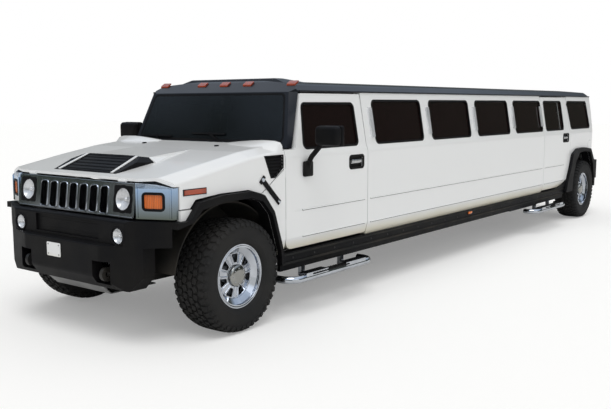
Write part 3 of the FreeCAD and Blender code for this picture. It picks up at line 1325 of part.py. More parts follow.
def tailgate():
    """The liftgate with its window, hinged along the roof's rear edge."""
    gap = S.panel_gap
    low = S.gate_foot_height
    top = ROOF_SEAM - S.door_head_gap
    half = GATE_HALF - gap
    soft = S.door_corner_radius
    outline = [(-half, low, soft), (half, low, soft), (half, top, soft), (-half, top, soft)]
    gate = block("front", "gate_edge", outline, TAIL, TAIL + S.gate_thickness)
    glass_half = half - S.gate_glass_side
    glass_low = low + S.gate_glass_foot
    glass_high = top - S.gate_glass_head
    corner = S.glass_corner_radius
    hole = [(-glass_half, glass_low, corner), (glass_half, glass_low, corner),
            (glass_half, glass_high, corner), (-glass_half, glass_high, corner)]
    tray_low = low + S.gate_handle_rise
    tray_half = S.gate_handle_width / 2
    tray = box("gate_tray", (TAIL - S.overrun, -tray_half, tray_low),
               (TAIL + S.handle_depth, tray_half, tray_low + S.gate_handle_height))
    window_hole = block("front", "gate_window", hole, TAIL - S.overrun,
                        TAIL + S.gate_thickness + S.overrun)
    radius = S.gate_pin_radius
    height = gate_pin_height()
    side = S.gate_pin_side
    pin = rod("gate_pin", "y", (TAIL - radius, side, height), radius, S.gate_pin_length)
    leaf = box("gate_leaf", (TAIL - radius, side, height - S.gate_leaf_height),
               (TAIL + radius / 2, side + S.gate_pin_length, height))
    whole = fuse("gate_whole", gate, pin, leaf, mirror("gate_pin_other", pin),
                 mirror("gate_leaf_other", leaf))
    node("tailgate", cut("gate_cut", whole, window_hole, tray))
    fit = S.fit_gap
    edge = [(-glass_half + fit, glass_low + fit, corner), (glass_half - fit, glass_low + fit, corner),
            (glass_half - fit, glass_high - fit, corner),
            (-glass_half + fit, glass_high - fit, corner)]
    node("tailgate_glass", block("front", "gate_pane", edge, TAIL + S.glass_set_back,
                                 TAIL + S.glass_set_back + S.glass_thickness))


def chassis():
    """The ladder frame with its kick-up over the rear axle, tow hooks and receiver."""
    top = S.sill_height
    low = top - S.rail_depth
    front = FRONT + S.rail_front_ahead
    rear = TAIL
    kick = S.kick_rise
    ahead = REAR + S.kick_half
    side = [(front, low), (front, top), (ahead + S.kick_slope, top), (ahead, top + kick),
            (rear, top + kick), (rear, low + kick), (ahead, low + kick),
            (ahead + S.kick_slope, low)]
    inner = S.rail_spacing - S.rail_width / 2
    outer = S.rail_spacing + S.rail_width / 2
    rail = block("side", "frame_rail", side, inner, outer)
    parts = [rail, mirror("frame_rail_other", rail)]
    for number in range(CROSS_COUNT):
        start = FRONT + S.cross_front_ahead - S.cross_pitch * number
        parts.append(box(f"cross_{number}", (start - S.cross_width, -S.rail_spacing, low),
                         (start, S.rail_spacing, top)))
    parts.append(box("cross_nose", (front - S.cross_width, -S.rail_spacing, low),
                     (front, S.rail_spacing, top)))
    parts.append(box("cross_tail", (rear, -S.rail_spacing, low + kick),
                     (rear + S.cross_width, S.rail_spacing, top + kick)))
    receiver_low = low + kick - S.receiver_width
    half = S.receiver_width / 2
    parts.append(box("receiver", (rear - S.receiver_length, -half, receiver_low),
                     (rear + S.cross_width, half, low + kick)))
    for side_sign in (-1, 1):
        bar = S.hook_bar
        reach = FRONT + S.hook_ahead
        centre = S.hook_spacing * side_sign
        parts.append(box(f"hook_bar_{side_sign + 1}",
                         (front - S.cross_width, centre - bar, S.hook_height - bar * 2),
                         (reach, centre + bar, S.hook_height)))
        parts.append(rod(f"hook_eye_{side_sign + 1}", "y",
                         (reach, centre - bar, S.hook_height - bar), S.hook_radius, bar * 2))
    frame = fuse("frame_whole", *parts)
    wall = S.receiver_wall
    socket = box("receiver_socket", (rear - S.receiver_length - S.overrun, -half + wall,
                 receiver_low + wall), (rear, half - wall, low + kick - wall))
    pin_x = rear - S.receiver_length + S.pin_setback
    pin = rod("receiver_pin", "y", (pin_x, -half - S.overrun, receiver_low + half),
              S.pin_radius, S.receiver_width + S.overrun * 2)
    tools = [socket, pin]
    tunnel = rod("shaft_tunnel", "x", (REAR, ZERO, S.wheel_height + S.shaft_radius / 2),
                 S.shaft_radius * 2, S.wheelbase)
    tools.append(tunnel)
    for side_sign in (-1, 1):
        start = (FRONT + S.hook_ahead, S.hook_spacing * side_sign - S.overrun,
                 S.hook_height - S.hook_bar)
        tools.append(rod(f"hook_hole_y_{side_sign + 1}", "y", start,
                         S.hook_radius - S.hook_bar * 2, S.overrun * 2))
    node("chassis_frame", cut("frame_cut", frame, *tools))


def floor_pan():
    """The floor with its step over the rear axle, and both rear wheel houses."""
    half = S.body_half_width - S.sill_inset - S.wall - S.fit_gap
    low = S.sill_height + S.fit_gap
    thick = S.floor_thickness
    ahead = REAR + S.kick_half
    kick = S.kick_rise
    front = FRONT - S.firewall_aft
    rear = TAIL + S.wall
    slope = S.kick_slope
    side = [(front, low), (front, low + thick), (ahead + slope, low + thick),
            (ahead, low + thick + kick), (rear, low + thick + kick), (rear, low + kick),
            (ahead + thick / 2, low + kick), (ahead + slope + thick / 2, low)]
    plate = block("side", "floor_plate", side, -half, half)
    centre = (REAR, half - S.tub_depth, S.wheel_height)
    outer = rod("tub_outer", "y", centre, S.tub_radius + S.tub_wall, S.tub_depth)
    inner = rod("tub_inner", "y", (REAR, half - S.tub_depth + S.tub_wall, S.wheel_height),
                S.tub_radius, S.tub_depth)
    below = box("tub_below", (REAR - OVERALL, -OVERALL, -OVERALL), (REAR + OVERALL, OVERALL, low))
    shape = fuse("floor_whole", plate, outer, mirror("tub_outer_other", outer))
    node("floor_pan", cut("floor_cut", shape, inner, mirror("tub_inner_other", inner), below))


def engine_bay():
    """Firewall with the cowl top, inner aprons with wheel liners, and the radiator."""
    rear = FRONT - S.firewall_aft
    thick = S.firewall_thickness
    half = S.body_half_width - S.wall - S.sill_inset - S.fit_gap
    low = S.sill_height + S.fit_gap
    top = GLASS_LOW - S.cowl_drop
    ledge = FRONT - S.screen_foot_aft - S.screen_frame
    side = [(rear, low), (rear, top - thick), (ledge, top - thick), (ledge, top),
            (rear + thick, top), (rear + thick, low)]
    parts = [block("side", "firewall", side, -half, half)]
    front = FRONT + S.apron_front_ahead
    apron = box("apron", (rear, S.apron_spacing, low),
                (front, S.apron_spacing + S.apron_thickness, S.apron_top))
    radius = S.liner_radius + S.liner_wall
    liner = rod("liner_outer", "y", (FRONT, S.apron_spacing, S.wheel_height), radius,
                LINER_HALF - S.apron_spacing)
    parts += [apron, liner, mirror("apron_other", apron), mirror("liner_other", liner)]
    start = FRONT + S.radiator_ahead
    parts.append(box("radiator", (start, -S.apron_spacing - S.apron_thickness, S.radiator_foot),
                     (start + S.radiator_depth, S.apron_spacing + S.apron_thickness,
                      S.radiator_top)))
    stay = box("grille_stay", (start + S.radiator_depth / 2, S.stay_side, S.stay_foot),
               (grille_back() - S.fit_gap, S.stay_side + S.stay_width,
                S.stay_foot + S.stay_rise))
    parts += [stay, mirror("grille_stay_other", stay)]
    whole = fuse("bay_whole", *parts)
    room = rod("liner_inner", "y", (FRONT, S.apron_spacing + S.apron_thickness, S.wheel_height),
               S.liner_radius, LINER_HALF)
    below = box("liner_below", (REAR, -OVERALL, -OVERALL), (FRONT + OVERALL, OVERALL, low))
    behind = box("liner_behind", (rear - S.overrun * 2, -OVERALL, low),
                 (rear, -half, BELT))
    reach = S.wishbone_root_half + S.wishbone_gap * 3
    arm_top = S.wheel_height + S.knuckle_rise + S.wishbone_thickness + S.wishbone_gap * 4
    passage = box("arm_passage", (FRONT - reach, -OVERALL, ZERO), (FRONT + reach, OVERALL, arm_top))
    node("engine_bay", cut("bay_cut", whole, room, mirror("liner_inner_other", room), below,
                           behind, mirror("liner_behind_other", behind), passage))


def engine():
    """The engine and gearbox as one plain block on the frame."""
    front = FRONT + S.engine_ahead
    rear = front - S.engine_length
    low = S.sill_height + S.fit_gap
    half = S.engine_half_width
    main = box("engine_main", (rear, -half, low), (front, half, low + S.engine_rise))
    box_half = S.gearbox_half_width
    gear = box("gearbox", (rear - S.gearbox_length, -box_half, low - S.gearbox_depth),
               (rear + S.overrun, box_half, low - S.fit_gap * 2))
    neck = box("gearbox_neck", (rear, -box_half, low - S.gearbox_depth),
               (rear + S.overrun, box_half, low + S.overrun))
    node("engine_block", fuse("engine_whole", main, gear, neck))


def revolved(name, corners):
    """A turned piece about its own Y axis, drawn as half-width against radius."""
    body = doc.addObject("PartDesign::Body", name)
    plane = [item for item in body.Origin.OriginFeatures if item.Role == "YZ_Plane"][0]
    sketch = body.newObject("Sketcher::SketchObject", name + "_profile")
    sketch.AttachmentSupport = (plane, [""])
    sketch.MapMode = "FlatFace"
    draw(sketch, corners)
    turn = body.newObject("PartDesign::Revolution", name + "_turn")
    turn.Profile = sketch
    turn.ReferenceAxis = (sketch, ["H_Axis"])
    turn.Angle = 360
    return body


def tyre(name):
    """A tyre with square shoulders and round side walls."""
    bead = S.bead_radius + S.rim_wall + S.fit_gap
    half = S.tyre_half_width
    foot = S.bead_half_width - S.fit_gap
    lip = S.flange_radius + S.fit_gap
    corners = [(-foot, bead), (-foot, lip), (-half, (bead + S.shoulder_radius) / 2, S.bend_radius),
               (-half + S.rim_wall / 2, S.shoulder_radius), (-S.tread_half_width, S.tyre_radius),
               (S.tread_half_width, S.tyre_radius), (half - S.rim_wall / 2, S.shoulder_radius),
               (half, (bead + S.shoulder_radius) / 2, S.bend_radius), (foot, lip), (foot, bead)]
    return revolved(name, corners)


def rim_turn(body, name, corners):
    """Add a turned part to a wheel, drawn as half-width against radius."""
    plane = [item for item in body.Origin.OriginFeatures if item.Role == "YZ_Plane"][0]
    sketch = body.newObject("Sketcher::SketchObject", name + "_profile")
    sketch.AttachmentSupport = (plane, [""])
    sketch.MapMode = "FlatFace"
    draw(sketch, corners)
    turn = body.newObject("PartDesign::Revolution", name)
    turn.Profile = sketch
    turn.ReferenceAxis = (sketch, ["H_Axis"])
    turn.Angle = 360


def rim(name):
    """A dished wheel with seven ports, a bright centre cap and a blind hub bore."""
    half = S.bead_half_width
    inner = S.bead_radius
    outer = inner + S.rim_wall
    lip = S.flange_width
    face = S.spoke_face
    back = face - S.spoke_depth
    bore = S.spindle_radius + S.bore_gap
    barrel = [(-half - lip, inner), (half + lip, inner), (half + lip, S.flange_radius),
              (half, S.flange_radius), (half, outer), (-half, outer),
              (-half, S.flange_radius), (-half - lip, S.flange_radius)]
    body = revolved(name, barrel)
    rim_turn(body, name + "_hub",
             [(face - S.hub_depth, bore), (back, bore), (back, ZERO), (face + S.cap_rise, ZERO),
              (face + S.cap_rise, S.cap_radius, S.cap_rise / 2), (face, S.hub_radius),
              (face - S.hub_depth, S.hub_radius)])
    root = S.hub_radius - S.rim_wall
    edge = inner + S.rim_wall / 2
    rim_turn(body, name + "_dish",
             [(back, root), (face, root), (face - S.dish_sink, S.dish_radius),
              (face + S.dish_rise, edge), (face + S.dish_rise - S.dish_wall, edge),
              (back, S.dish_radius)])
    plan = [item for item in body.Origin.OriginFeatures if item.Role == "XZ_Plane"][0]
    outline = body.newObject("Sketcher::SketchObject", name + "_port_outline")
    outline.AttachmentSupport = (plan, [""])
    outline.MapMode = "FlatFace"
    soft = S.port_corner
    draw(outline, [(-S.port_foot_half, S.port_foot, soft), (S.port_foot_half, S.port_foot, soft),
                   (S.port_tip_half, S.port_tip, soft), (-S.port_tip_half, S.port_tip, soft)])
    port = body.newObject("PartDesign::Pocket", name + "_port")
    port.Profile = outline
    port.Midplane = True
    bind(port, "Length", S.tyre_half_width * 2)
    pattern = body.newObject("PartDesign::PolarPattern", name + "_ports")
    pattern.Originals = [port]
    axis = [item for item in body.Origin.OriginFeatures if item.Role == "Y_Axis"][0]
    pattern.Axis = (axis, [""])
    pattern.Angle = 360
    pattern.Occurrences = PORT_COUNT
    body.Tip = pattern
    return body


def wheels():
    """Four wheels, each a rim and a tyre."""
    for end, station in (("front", FRONT), ("rear", REAR)):
        for piece, maker in (("rim", rim), ("tyre", tyre)):
            item = maker(f"{end}_{piece}_made")
            place(item, station, HALF_TRACK, S.wheel_height)
            node(f"{end}_left_{piece}", item)
            node(f"{end}_right_{piece}", mirror(f"{end}_{piece}_other", item))


def knuckles():
    """The steering knuckles, with spindle and steering arm, turning about the kingpin."""
    half = S.knuckle_half
    rise = S.knuckle_rise
    inner = KINGPIN - S.knuckle_width / 2
    outer = KINGPIN + S.knuckle_width / 2
    post = box("knuckle_post", (FRONT - half, inner, S.wheel_height - rise),
               (FRONT + half, outer, S.wheel_height + rise))
    end = HALF_TRACK + S.spoke_face - S.spoke_depth - S.wishbone_gap
    spindle = rod("knuckle_spindle", "y", (FRONT, KINGPIN, S.wheel_height), S.spindle_radius,
                  end - KINGPIN)
    low = S.wheel_height - rise
    arm = [(FRONT + half, inner), (FRONT - half, outer),
           (FRONT - S.arm_length, KINGPIN - S.arm_inboard + half),
           (FRONT - S.arm_length, KINGPIN - S.arm_inboard)]
    lever = block("plan", "knuckle_arm", arm, low + half, low + half + S.arm_thickness)
    shape = fuse("knuckle_whole", post, spindle, lever)
    node("steering_knuckle_left", shape)
    node("steering_knuckle_right", mirror("knuckle_other", shape))


def front_suspension():
    """Upper and lower wishbones on posts beside the frame rails."""
    inner = S.rail_spacing + S.rail_width / 2 + S.fit_gap
    post_out = inner + S.post_thickness
    arms = []
    gap = S.fit_gap
    thick = S.wishbone_thickness
    high = S.wheel_height + S.knuckle_rise + gap
    low = S.wheel_height - S.knuckle_rise - gap - thick
    tip = S.wishbone_tip_half
    waist = S.wishbone_waist_half
    root = S.wishbone_root_half
    plan = [(FRONT - root, inner), (FRONT + root, inner), (FRONT + waist, S.wishbone_waist),
            (FRONT + tip, KINGPIN + tip / 2), (FRONT - tip, KINGPIN + tip / 2),
            (FRONT - waist, S.wishbone_waist)]
    arms.append(block("plan", "upper_arm", plan, high, high + thick))
    arms.append(block("plan", "lower_arm", plan, low, low + thick))
    arms.append(box("arm_post_front", (FRONT + root - S.post_thickness * 2, inner, low),
                    (FRONT + root, post_out, high + thick)))
    arms.append(box("arm_post_rear", (FRONT - root, inner, low),
                    (FRONT - root + S.post_thickness * 2, post_out, high + thick)))
    node("front_suspension", pair("suspension_pair", fuse("suspension_side", *arms)))


def rear_axle():
    """The live rear axle with its differential, leaf springs and propeller shaft."""
    tube = rod("axle_tube", "y", (REAR, -S.axle_half, S.wheel_height), S.axle_tube,
               S.axle_half * 2)
    end = HALF_TRACK + S.spoke_face - S.spoke_depth - S.wishbone_gap
    shaft = rod("axle_shaft", "y", (REAR, -end, S.wheel_height), S.spindle_radius, end * 2)
    ball = doc.addObject("Part::Sphere", "axle_diff")
    bind(ball, "Radius", S.diff_radius)
    place(ball, REAR, ZERO, S.wheel_height)
    prop_start = FRONT + S.engine_ahead - S.engine_length - S.gearbox_length
    prop = rod("prop_shaft", "x", (REAR, ZERO, S.wheel_height), S.shaft_radius,
               prop_start - REAR - S.fit_gap)
    centre = S.rail_spacing
    half = S.spring_width / 2
    low = S.wheel_height + S.axle_tube - S.fit_gap * 2
    thick = S.spring_thickness
    leaf = [(REAR + S.kick_half - thick, low - thick), (REAR + S.kick_half - thick, low),
            (REAR - S.kick_half, low), (REAR - S.kick_half, low - thick)]
    spring = block("side", "leaf_spring", leaf, centre - half, centre + half)
    top = S.sill_height - S.rail_depth + S.kick_rise - S.fit_gap
    bump = box("spring_seat", (REAR - S.axle_tube, centre - half, low - thick),
               (REAR + S.axle_tube, centre + half, top))
    node("rear_axle", fuse("axle_whole", tube, shaft, ball, prop, spring, bump,
                           mirror("leaf_other", spring), mirror("bump_other", bump)))


def exhaust():
    """The exhaust pipe with its silencer, hung under the right side of the frame."""
    low = S.sill_height - S.rail_depth
    front = FRONT + S.engine_ahead - S.engine_length
    rear = TAIL - S.rail_width
    side = -S.exhaust_side
    height = S.exhaust_height
    pipe = rod("exhaust_pipe", "x", (rear, side, height), S.exhaust_radius, front - rear)
    carrier = FRONT + S.cross_front_ahead - S.cross_width / 2 - S.cross_pitch * CARRIER_NUMBER
    start = carrier - S.muffler_length / 2
    silencer = rod("silencer", "x", (start, side, low - S.muffler_radius - S.fit_gap),
                   S.muffler_radius, S.muffler_length)
    node("exhaust", fuse("exhaust_whole", pipe, silencer))


def fuel_tank():
    """The moulded fuel tank between the left rail and the sill."""
    inner = S.rail_spacing + S.rail_width / 2 + S.fit_gap
    top = S.sill_height - S.fit_gap
    start = REAR + S.tank_ahead
    soft = S.tank_depth / 4
    side = [(start, top - S.tank_depth, soft), (start + S.tank_length, top - S.tank_depth, soft),
            (start + S.tank_length, top), (start, top)]
    outer = S.body_half_width - S.tank_outer_inset
    node("fuel_tank", block("side", "tank", side, inner, outer))


def dashboard():
    """The dashboard across the cabin, with the steering column and wheel."""
    front = FRONT - S.firewall_aft - S.fit_gap
    half = S.body_half_width - S.dash_inset
    rear = front - S.dash_depth
    top = S.dash_height
    side = [(front, S.dash_foot), (front, top, S.seat_round),
            (rear + S.seat_round, top, S.seat_round), (rear, top - S.seat_cushion, S.seat_round),
            (rear + S.seat_cushion, S.dash_foot, S.seat_round)]
    panel = block("side", "dash_side", side, -half, half)
    tube = S.wheel_rim_tube
    slim = tube * RIM_SECTION_SHARE
    reach = S.wheel_rim_radius
    section = [(-tube, reach - slim), (-slim, reach - tube), (slim, reach - tube),
               (tube, reach - slim), (tube, reach + slim), (slim, reach + tube),
               (-slim, reach + tube), (-tube, reach + slim)]
    ring = revolved("wheel_rim", section)
    lean = Rotation(Vector(0, 1, 0), -COLUMN_ANGLE)
    ring.Placement = Placement(Vector(), lean * Rotation(Vector(0, 0, 1), -90))
    spoke = doc.addObject("Part::Box", "wheel_spoke")
    bind(spoke, "Length", tube)
    bind(spoke, "Width", reach * 2)
    bind(spoke, "Height", tube * 2)
    place(spoke, ZERO, -reach, -tube)
    column = rod("wheel_column", "x", (ZERO, ZERO, ZERO), tube * 2,
                 S.wheel_aft - S.firewall_aft - S.dash_depth / 2)
    bars = fuse("wheel_bars", spoke, column)
    bars.Placement = Placement(Vector(), lean)
    parts = [place(item, FRONT - S.wheel_aft, S.wheel_side, S.wheel_centre_height)
             for item in (ring, bars)]
    node("dashboard", fuse("dash_whole", panel, *parts))


def seat_block(name, low_y, high_y, rear, depth, back, seat, top):
    """An L-shaped seat with rounded edges, open to the front."""
    foot = S.sill_height + S.floor_thickness + S.fit_gap * 2
    soft = S.seat_round
    side = [(rear, foot), (rear, top, soft), (rear + back, top, soft),
            (rear + back, seat, soft / 2), (rear + back + depth, seat, soft),
            (rear + back + depth, seat - S.seat_cushion, soft / 2),
            (rear + back + depth - soft, foot)]
    return block("side", name, side, low_y, high_y)


def seats():
    """Two front seats and a long lounge bench along the right side and across the rear."""
    half = S.seat_width / 2
    rear = FRONT - S.seat_aft - S.seat_depth - S.seat_back_thickness
    seat = seat_block("front_seat", S.seat_side - half, S.seat_side + half, rear, S.seat_depth,
                      S.seat_back_thickness, S.seat_height, S.seat_back_height)
    node("front_seats", pair("front_seat_pair", seat))
    wall = S.body_half_width - S.sill_inset - S.wall - S.fit_gap * 2
    ahead = REAR + S.kick_half + S.kick_slope + S.seat_round
    across = seat_block("bench_across", -wall, wall, ahead, S.bench_depth, S.bench_back,
                        S.bench_seat, S.bench_top)
    foot = S.sill_height + S.floor_thickness + S.fit_gap * 2
    front = [(-wall, foot), (-wall, S.bench_top, S.seat_round),
             (-wall + S.bench_back, S.bench_top, S.seat_round),
             (-wall + S.bench_back, S.bench_seat, S.seat_round / 2),
             (-wall + S.bench_back + S.bench_depth, S.bench_seat, S.seat_round),
             (-wall + S.bench_back + S.bench_depth, foot)]
    along = block("front", "bench_along", front, ahead + S.bench_back,
                  FRONT - S.partition_aft - S.partition_thickness - S.bench_ahead)
    node("lounge_bench", fuse("bench_whole", across, along))


def partition():
    """The wall behind the front seats, with its pass-through window."""
    front = FRONT - S.partition_aft
    half = S.body_half_width - S.sill_inset - S.wall - S.fit_gap * 2
    head = S.body_half_width - S.roof_seam_inset - S.partition_side_gap
    foot = S.sill_height + S.floor_thickness + S.fit_gap * 2
    shape = block("front", "partition_sheet", [(-half, foot), (half, foot), (half, GLASS_LOW),
                  (head, ROOF_SEAM), (-head, ROOF_SEAM), (-half, GLASS_LOW)],
                  front - S.partition_thickness, front)
    low = S.partition_window_foot
    span = S.partition_window_half
    hole = box("partition_hole", (front - S.partition_thickness - S.overrun, -span, low),
               (front + S.overrun, span, low + S.partition_window_rise))
    node("partition", cut("partition_cut", shape, hole))


def build():
    """Make every sub-part."""
    wall = side_wall()
    pane = side_pane()
    front_doors(wall, pane)
    rear_doors(wall, pane)
    stretch_sides(wall)
    rear_quarters(wall)
    fixed_glass(pane)
    cowl_sides(wall)
    opera_lamps()
    roof()
    marker_lamps()
    windscreen()
    wipers()
    hood()
    hood_scoop()
    grille()
    lamp_bezels()
    front_bumper()
    skid_plate()
    rear_bumper()
    flares()
    sills()
    side_steps()
    mirrors()
    tailgate()
    chassis()
    floor_pan()
    engine_bay()
    engine()
    wheels()
    knuckles()
    front_suspension()
    rear_axle()
    exhaust()
    fuel_tank()
    dashboard()
    seats()
    partition()


def write():
    """Check every object, then write each sub-part to its own file."""
    doc.recompute()
    broken = [item.Label for item in doc.Objects if {"Invalid", "Error"} & set(item.State)]
    if broken:
        raise SystemExit(f"failed objects: {broken}")
    os.makedirs("parts", exist_ok=True)
    for label, item in NODES.items():
        if item.Shape.isNull() or not item.Shape.isValid():
            raise SystemExit(f"bad shape: {label}")
    for label, item in NODES.items():
        item.Shape.exportStep(f"parts/{label}.step")
    print(f"{len(NODES)} sub-parts written")


build()
write()
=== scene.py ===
# %% [markdown]
# # A white stretch limousine
#
# The car comes in as finished bodies: doors, hood, liftgate, wheels and frame, each at its real
# place. This file dresses them. It makes the finishes, from paint to tyre rubber, and the small
# pieces that give a car its look: tread blocks, lamp lenses, window rubbers, latches and seats.
# Lengths are in metres, with +X forward, +Y to the driver's left and +Z up.

# %% Load the frame
import json
import math

import bmesh
import bpy
from mathutils import Matrix, Vector


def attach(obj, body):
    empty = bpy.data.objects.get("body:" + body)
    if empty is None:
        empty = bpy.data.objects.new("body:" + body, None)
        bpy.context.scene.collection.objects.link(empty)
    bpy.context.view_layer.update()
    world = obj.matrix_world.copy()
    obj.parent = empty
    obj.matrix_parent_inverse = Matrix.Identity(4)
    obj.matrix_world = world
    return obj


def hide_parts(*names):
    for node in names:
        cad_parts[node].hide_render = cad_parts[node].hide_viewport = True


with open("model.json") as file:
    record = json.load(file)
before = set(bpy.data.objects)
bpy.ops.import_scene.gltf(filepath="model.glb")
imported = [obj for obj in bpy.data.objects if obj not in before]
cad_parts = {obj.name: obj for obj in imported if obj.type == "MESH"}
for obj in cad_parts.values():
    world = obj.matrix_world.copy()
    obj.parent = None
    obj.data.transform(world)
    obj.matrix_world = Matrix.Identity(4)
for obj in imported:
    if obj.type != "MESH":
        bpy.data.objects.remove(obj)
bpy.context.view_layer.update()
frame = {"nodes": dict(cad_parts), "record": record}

# %% [markdown]
# ## Camera
#
# The photograph looks at the car's front left corner from a person's eye height. The place and
# the lens were worked out from the wheel centres and the body lines, so they are set as numbers.
# A look-at constraint would be quicker to write, but it would lose the small roll.

# %% Camera
CAMERA_PLACE = Vector((8.110, 4.924, 1.711))
CAMERA_YAW, CAMERA_PITCH, CAMERA_ROLL = 3.7984, -0.1269, -0.0015
FOCAL_PIXELS, PHOTO_WIDTH = 784.74, 611


def add_camera(place, yaw, pitch, roll, focal_pixels, width_pixels):
    """A camera at a place, turned by angles in radians."""
    data = bpy.data.cameras.new("photo_camera")
    data.sensor_width = 36.0
    data.lens = data.sensor_width * focal_pixels / width_pixels
    data.clip_end = 200.0
    camera = bpy.data.objects.new("photo_camera", data)
    bpy.context.scene.collection.objects.link(camera)
    ahead = Vector((math.cos(pitch) * math.cos(yaw), math.cos(pitch) * math.sin(yaw),
                    math.sin(pitch)))
    turn = ahead.to_track_quat("-Z", "Y").to_matrix().to_4x4()
    camera.matrix_world = Matrix.Translation(place) @ turn @ Matrix.Rotation(roll, 4, "Z")
    bpy.context.scene.camera = camera
    return camera


camera = add_camera(CAMERA_PLACE, CAMERA_YAW, CAMERA_PITCH, CAMERA_ROLL, FOCAL_PIXELS,
                    PHOTO_WIDTH)
print("lens", round(camera.data.lens, 2), "mm")

# %% [markdown]
# ## Floor, sky and lamps
#
# The car stands on plain white ground with a soft shadow. The ground is a plain diffuse sheet
# that is lifted towards white for the camera alone, so its brightness doesn't spill on the car.
# The sky is even and white, but mirrors and glass see it dark near the horizon with an uneven
# edge, as by a row of trees, and pale blue above. That gives chrome and panes their contrast.

# %% Node helpers
def new_material(name):
    """An empty node material, with its nodes and links."""
    material = bpy.data.materials.new(name)
    material.use_nodes = True
    return material, material.node_tree.nodes, material.node_tree.links


def ray_seen(nodes, links):
    """1 for what the camera, a mirror or a pane of glass sees, 0 for the light it gives."""
    path = nodes.new("ShaderNodeLightPath")
    total = path.outputs["Is Camera Ray"]
    for name in ("Is Glossy Ray", "Is Transmission Ray"):
        add = nodes.new("ShaderNodeMath")
        add.operation = "MAXIMUM"
        links.new(total, add.inputs[0])
        links.new(path.outputs[name], add.inputs[1])
        total = add.outputs[0]
    return total


def ramp(nodes, links, source, stops):
    """Colours along a value."""
    node = nodes.new("ShaderNodeValToRGB")
    while len(node.color_ramp.elements) < len(stops):
        node.color_ramp.elements.new(0.5)
    for element, (spot, colour) in zip(node.color_ramp.elements, stops):
        element.position = spot
        element.color = (*colour, 1.0) if len(colour) == 3 else colour
    links.new(source, node.inputs["Fac"])
    return node.outputs["Color"]

# %% Sky
SKY_LIGHT = 0.62
TREE_HEIGHT, TREE_UNEVEN = 0.27, 0.55
SKY_BANDS = [(0.0, (0.22, 0.22, 0.22)), (0.03, (0.05, 0.06, 0.05)), (0.30, (0.08, 0.09, 0.08)),
             (0.46, (0.42, 0.50, 0.62)), (0.70, (0.66, 0.74, 0.86)), (1.0, (0.82, 0.87, 0.95))]


def make_sky():
    """An even white light that mirrors and panes see in bands."""
    world = bpy.data.worlds.new("studio_sky")
    bpy.context.scene.world = world
    world.use_nodes = True
    nodes, links = world.node_tree.nodes, world.node_tree.links
    nodes.clear()
    light = nodes.new("ShaderNodeBackground")
    light.inputs["Color"].default_value = (1.0, 1.0, 1.0, 1.0)
    light.inputs["Strength"].default_value = SKY_LIGHT
    seen = nodes.new("ShaderNodeBackground")
    path = nodes.new("ShaderNodeLightPath")
    where = nodes.new("ShaderNodeTexCoord")
    split = nodes.new("ShaderNodeSeparateXYZ")
    links.new(where.outputs["Generated"], split.inputs[0])
    leaves = nodes.new("ShaderNodeTexNoise")
    leaves.inputs["Scale"].default_value = 5.0
    leaves.inputs["Detail"].default_value = 6.0
    links.new(where.outputs["Generated"], leaves.inputs["Vector"])
    uneven = nodes.new("ShaderNodeMath")
    uneven.operation = "MULTIPLY_ADD"
    uneven.inputs[1].default_value = TREE_UNEVEN
    links.new(leaves.outputs["Fac"], uneven.inputs[0])
    lower = nodes.new("ShaderNodeMath")
    lower.operation = "SUBTRACT"
    lower.inputs[1].default_value = TREE_HEIGHT
    links.new(split.outputs["Z"], lower.inputs[0])
    links.new(lower.outputs[0], uneven.inputs[2])
    bands = ramp(nodes, links, uneven.outputs[0], SKY_BANDS)
    white = nodes.new("ShaderNodeMix")
    white.data_type = "RGBA"
    links.new(path.outputs["Is Camera Ray"], white.inputs[0])
    links.new(bands, white.inputs[6])
    white.inputs[7].default_value = (1.0, 1.0, 1.0, 1.0)
    links.new(white.outputs[2], seen.inputs["Color"])
    mix = nodes.new("ShaderNodeMixShader")
    links.new(ray_seen(nodes, links), mix.inputs[0])
    links.new(light.outputs[0], mix.inputs[1])
    links.new(seen.outputs[0], mix.inputs[2])
    out = nodes.new("ShaderNodeOutputWorld")
    links.new(mix.outputs[0], out.inputs["Surface"])


make_sky()

# %% Ground
GROUND_HALF, GROUND_LIFT = 60.0, 0.24


def make_ground(half):
    """A square sheet that counts as the stage."""
    mesh = bpy.data.meshes.new("ground")
    bm = bmesh.new()
    bmesh.ops.create_grid(bm, x_segments=2, y_segments=2, size=half)
    bm.to_mesh(mesh)
    bm.free()
    ground = bpy.data.objects.new("ground", mesh)
    bpy.context.scene.collection.objects.link(ground)
    material, nodes, links = new_material("pale_ground")
    nodes.clear()
    sheet = nodes.new("ShaderNodeBsdfDiffuse")
    sheet.inputs["Color"].default_value = (0.82, 0.82, 0.81, 1.0)
    glow = nodes.new("ShaderNodeEmission")
    path = nodes.new("ShaderNodeLightPath")
    lift = nodes.new("ShaderNodeMath")
    lift.operation = "MULTIPLY"
    lift.inputs[1].default_value = GROUND_LIFT
    links.new(path.outputs["Is Camera Ray"], lift.inputs[0])
    links.new(lift.outputs[0], glow.inputs["Strength"])
    both = nodes.new("ShaderNodeAddShader")
    links.new(sheet.outputs[0], both.inputs[0])
    links.new(glow.outputs[0], both.inputs[1])
    out = nodes.new("ShaderNodeOutputMaterial")
    links.new(both.outputs[0], out.inputs["Surface"])
    mesh.materials.append(material)
    return ground


make_ground(GROUND_HALF)

# %% Lamps
def add_sun(name, toward, strength, spread):
    """A distant lamp whose spread in degrees softens its shadows."""
    data = bpy.data.lights.new(name, "SUN")
    data.energy = strength
    data.angle = math.radians(spread)
    lamp = bpy.data.objects.new(name, data)
    lamp.rotation_euler = Vector(toward).to_track_quat("-Z", "Y").to_euler()
    bpy.context.scene.collection.objects.link(lamp)


add_sun("key", (-0.35, -0.30, -1.0), 0.95, 35)
add_sun("side_fill", (-0.25, -1.0, -0.25), 0.32, 50)
bpy.context.scene.view_settings.view_transform = "Standard"

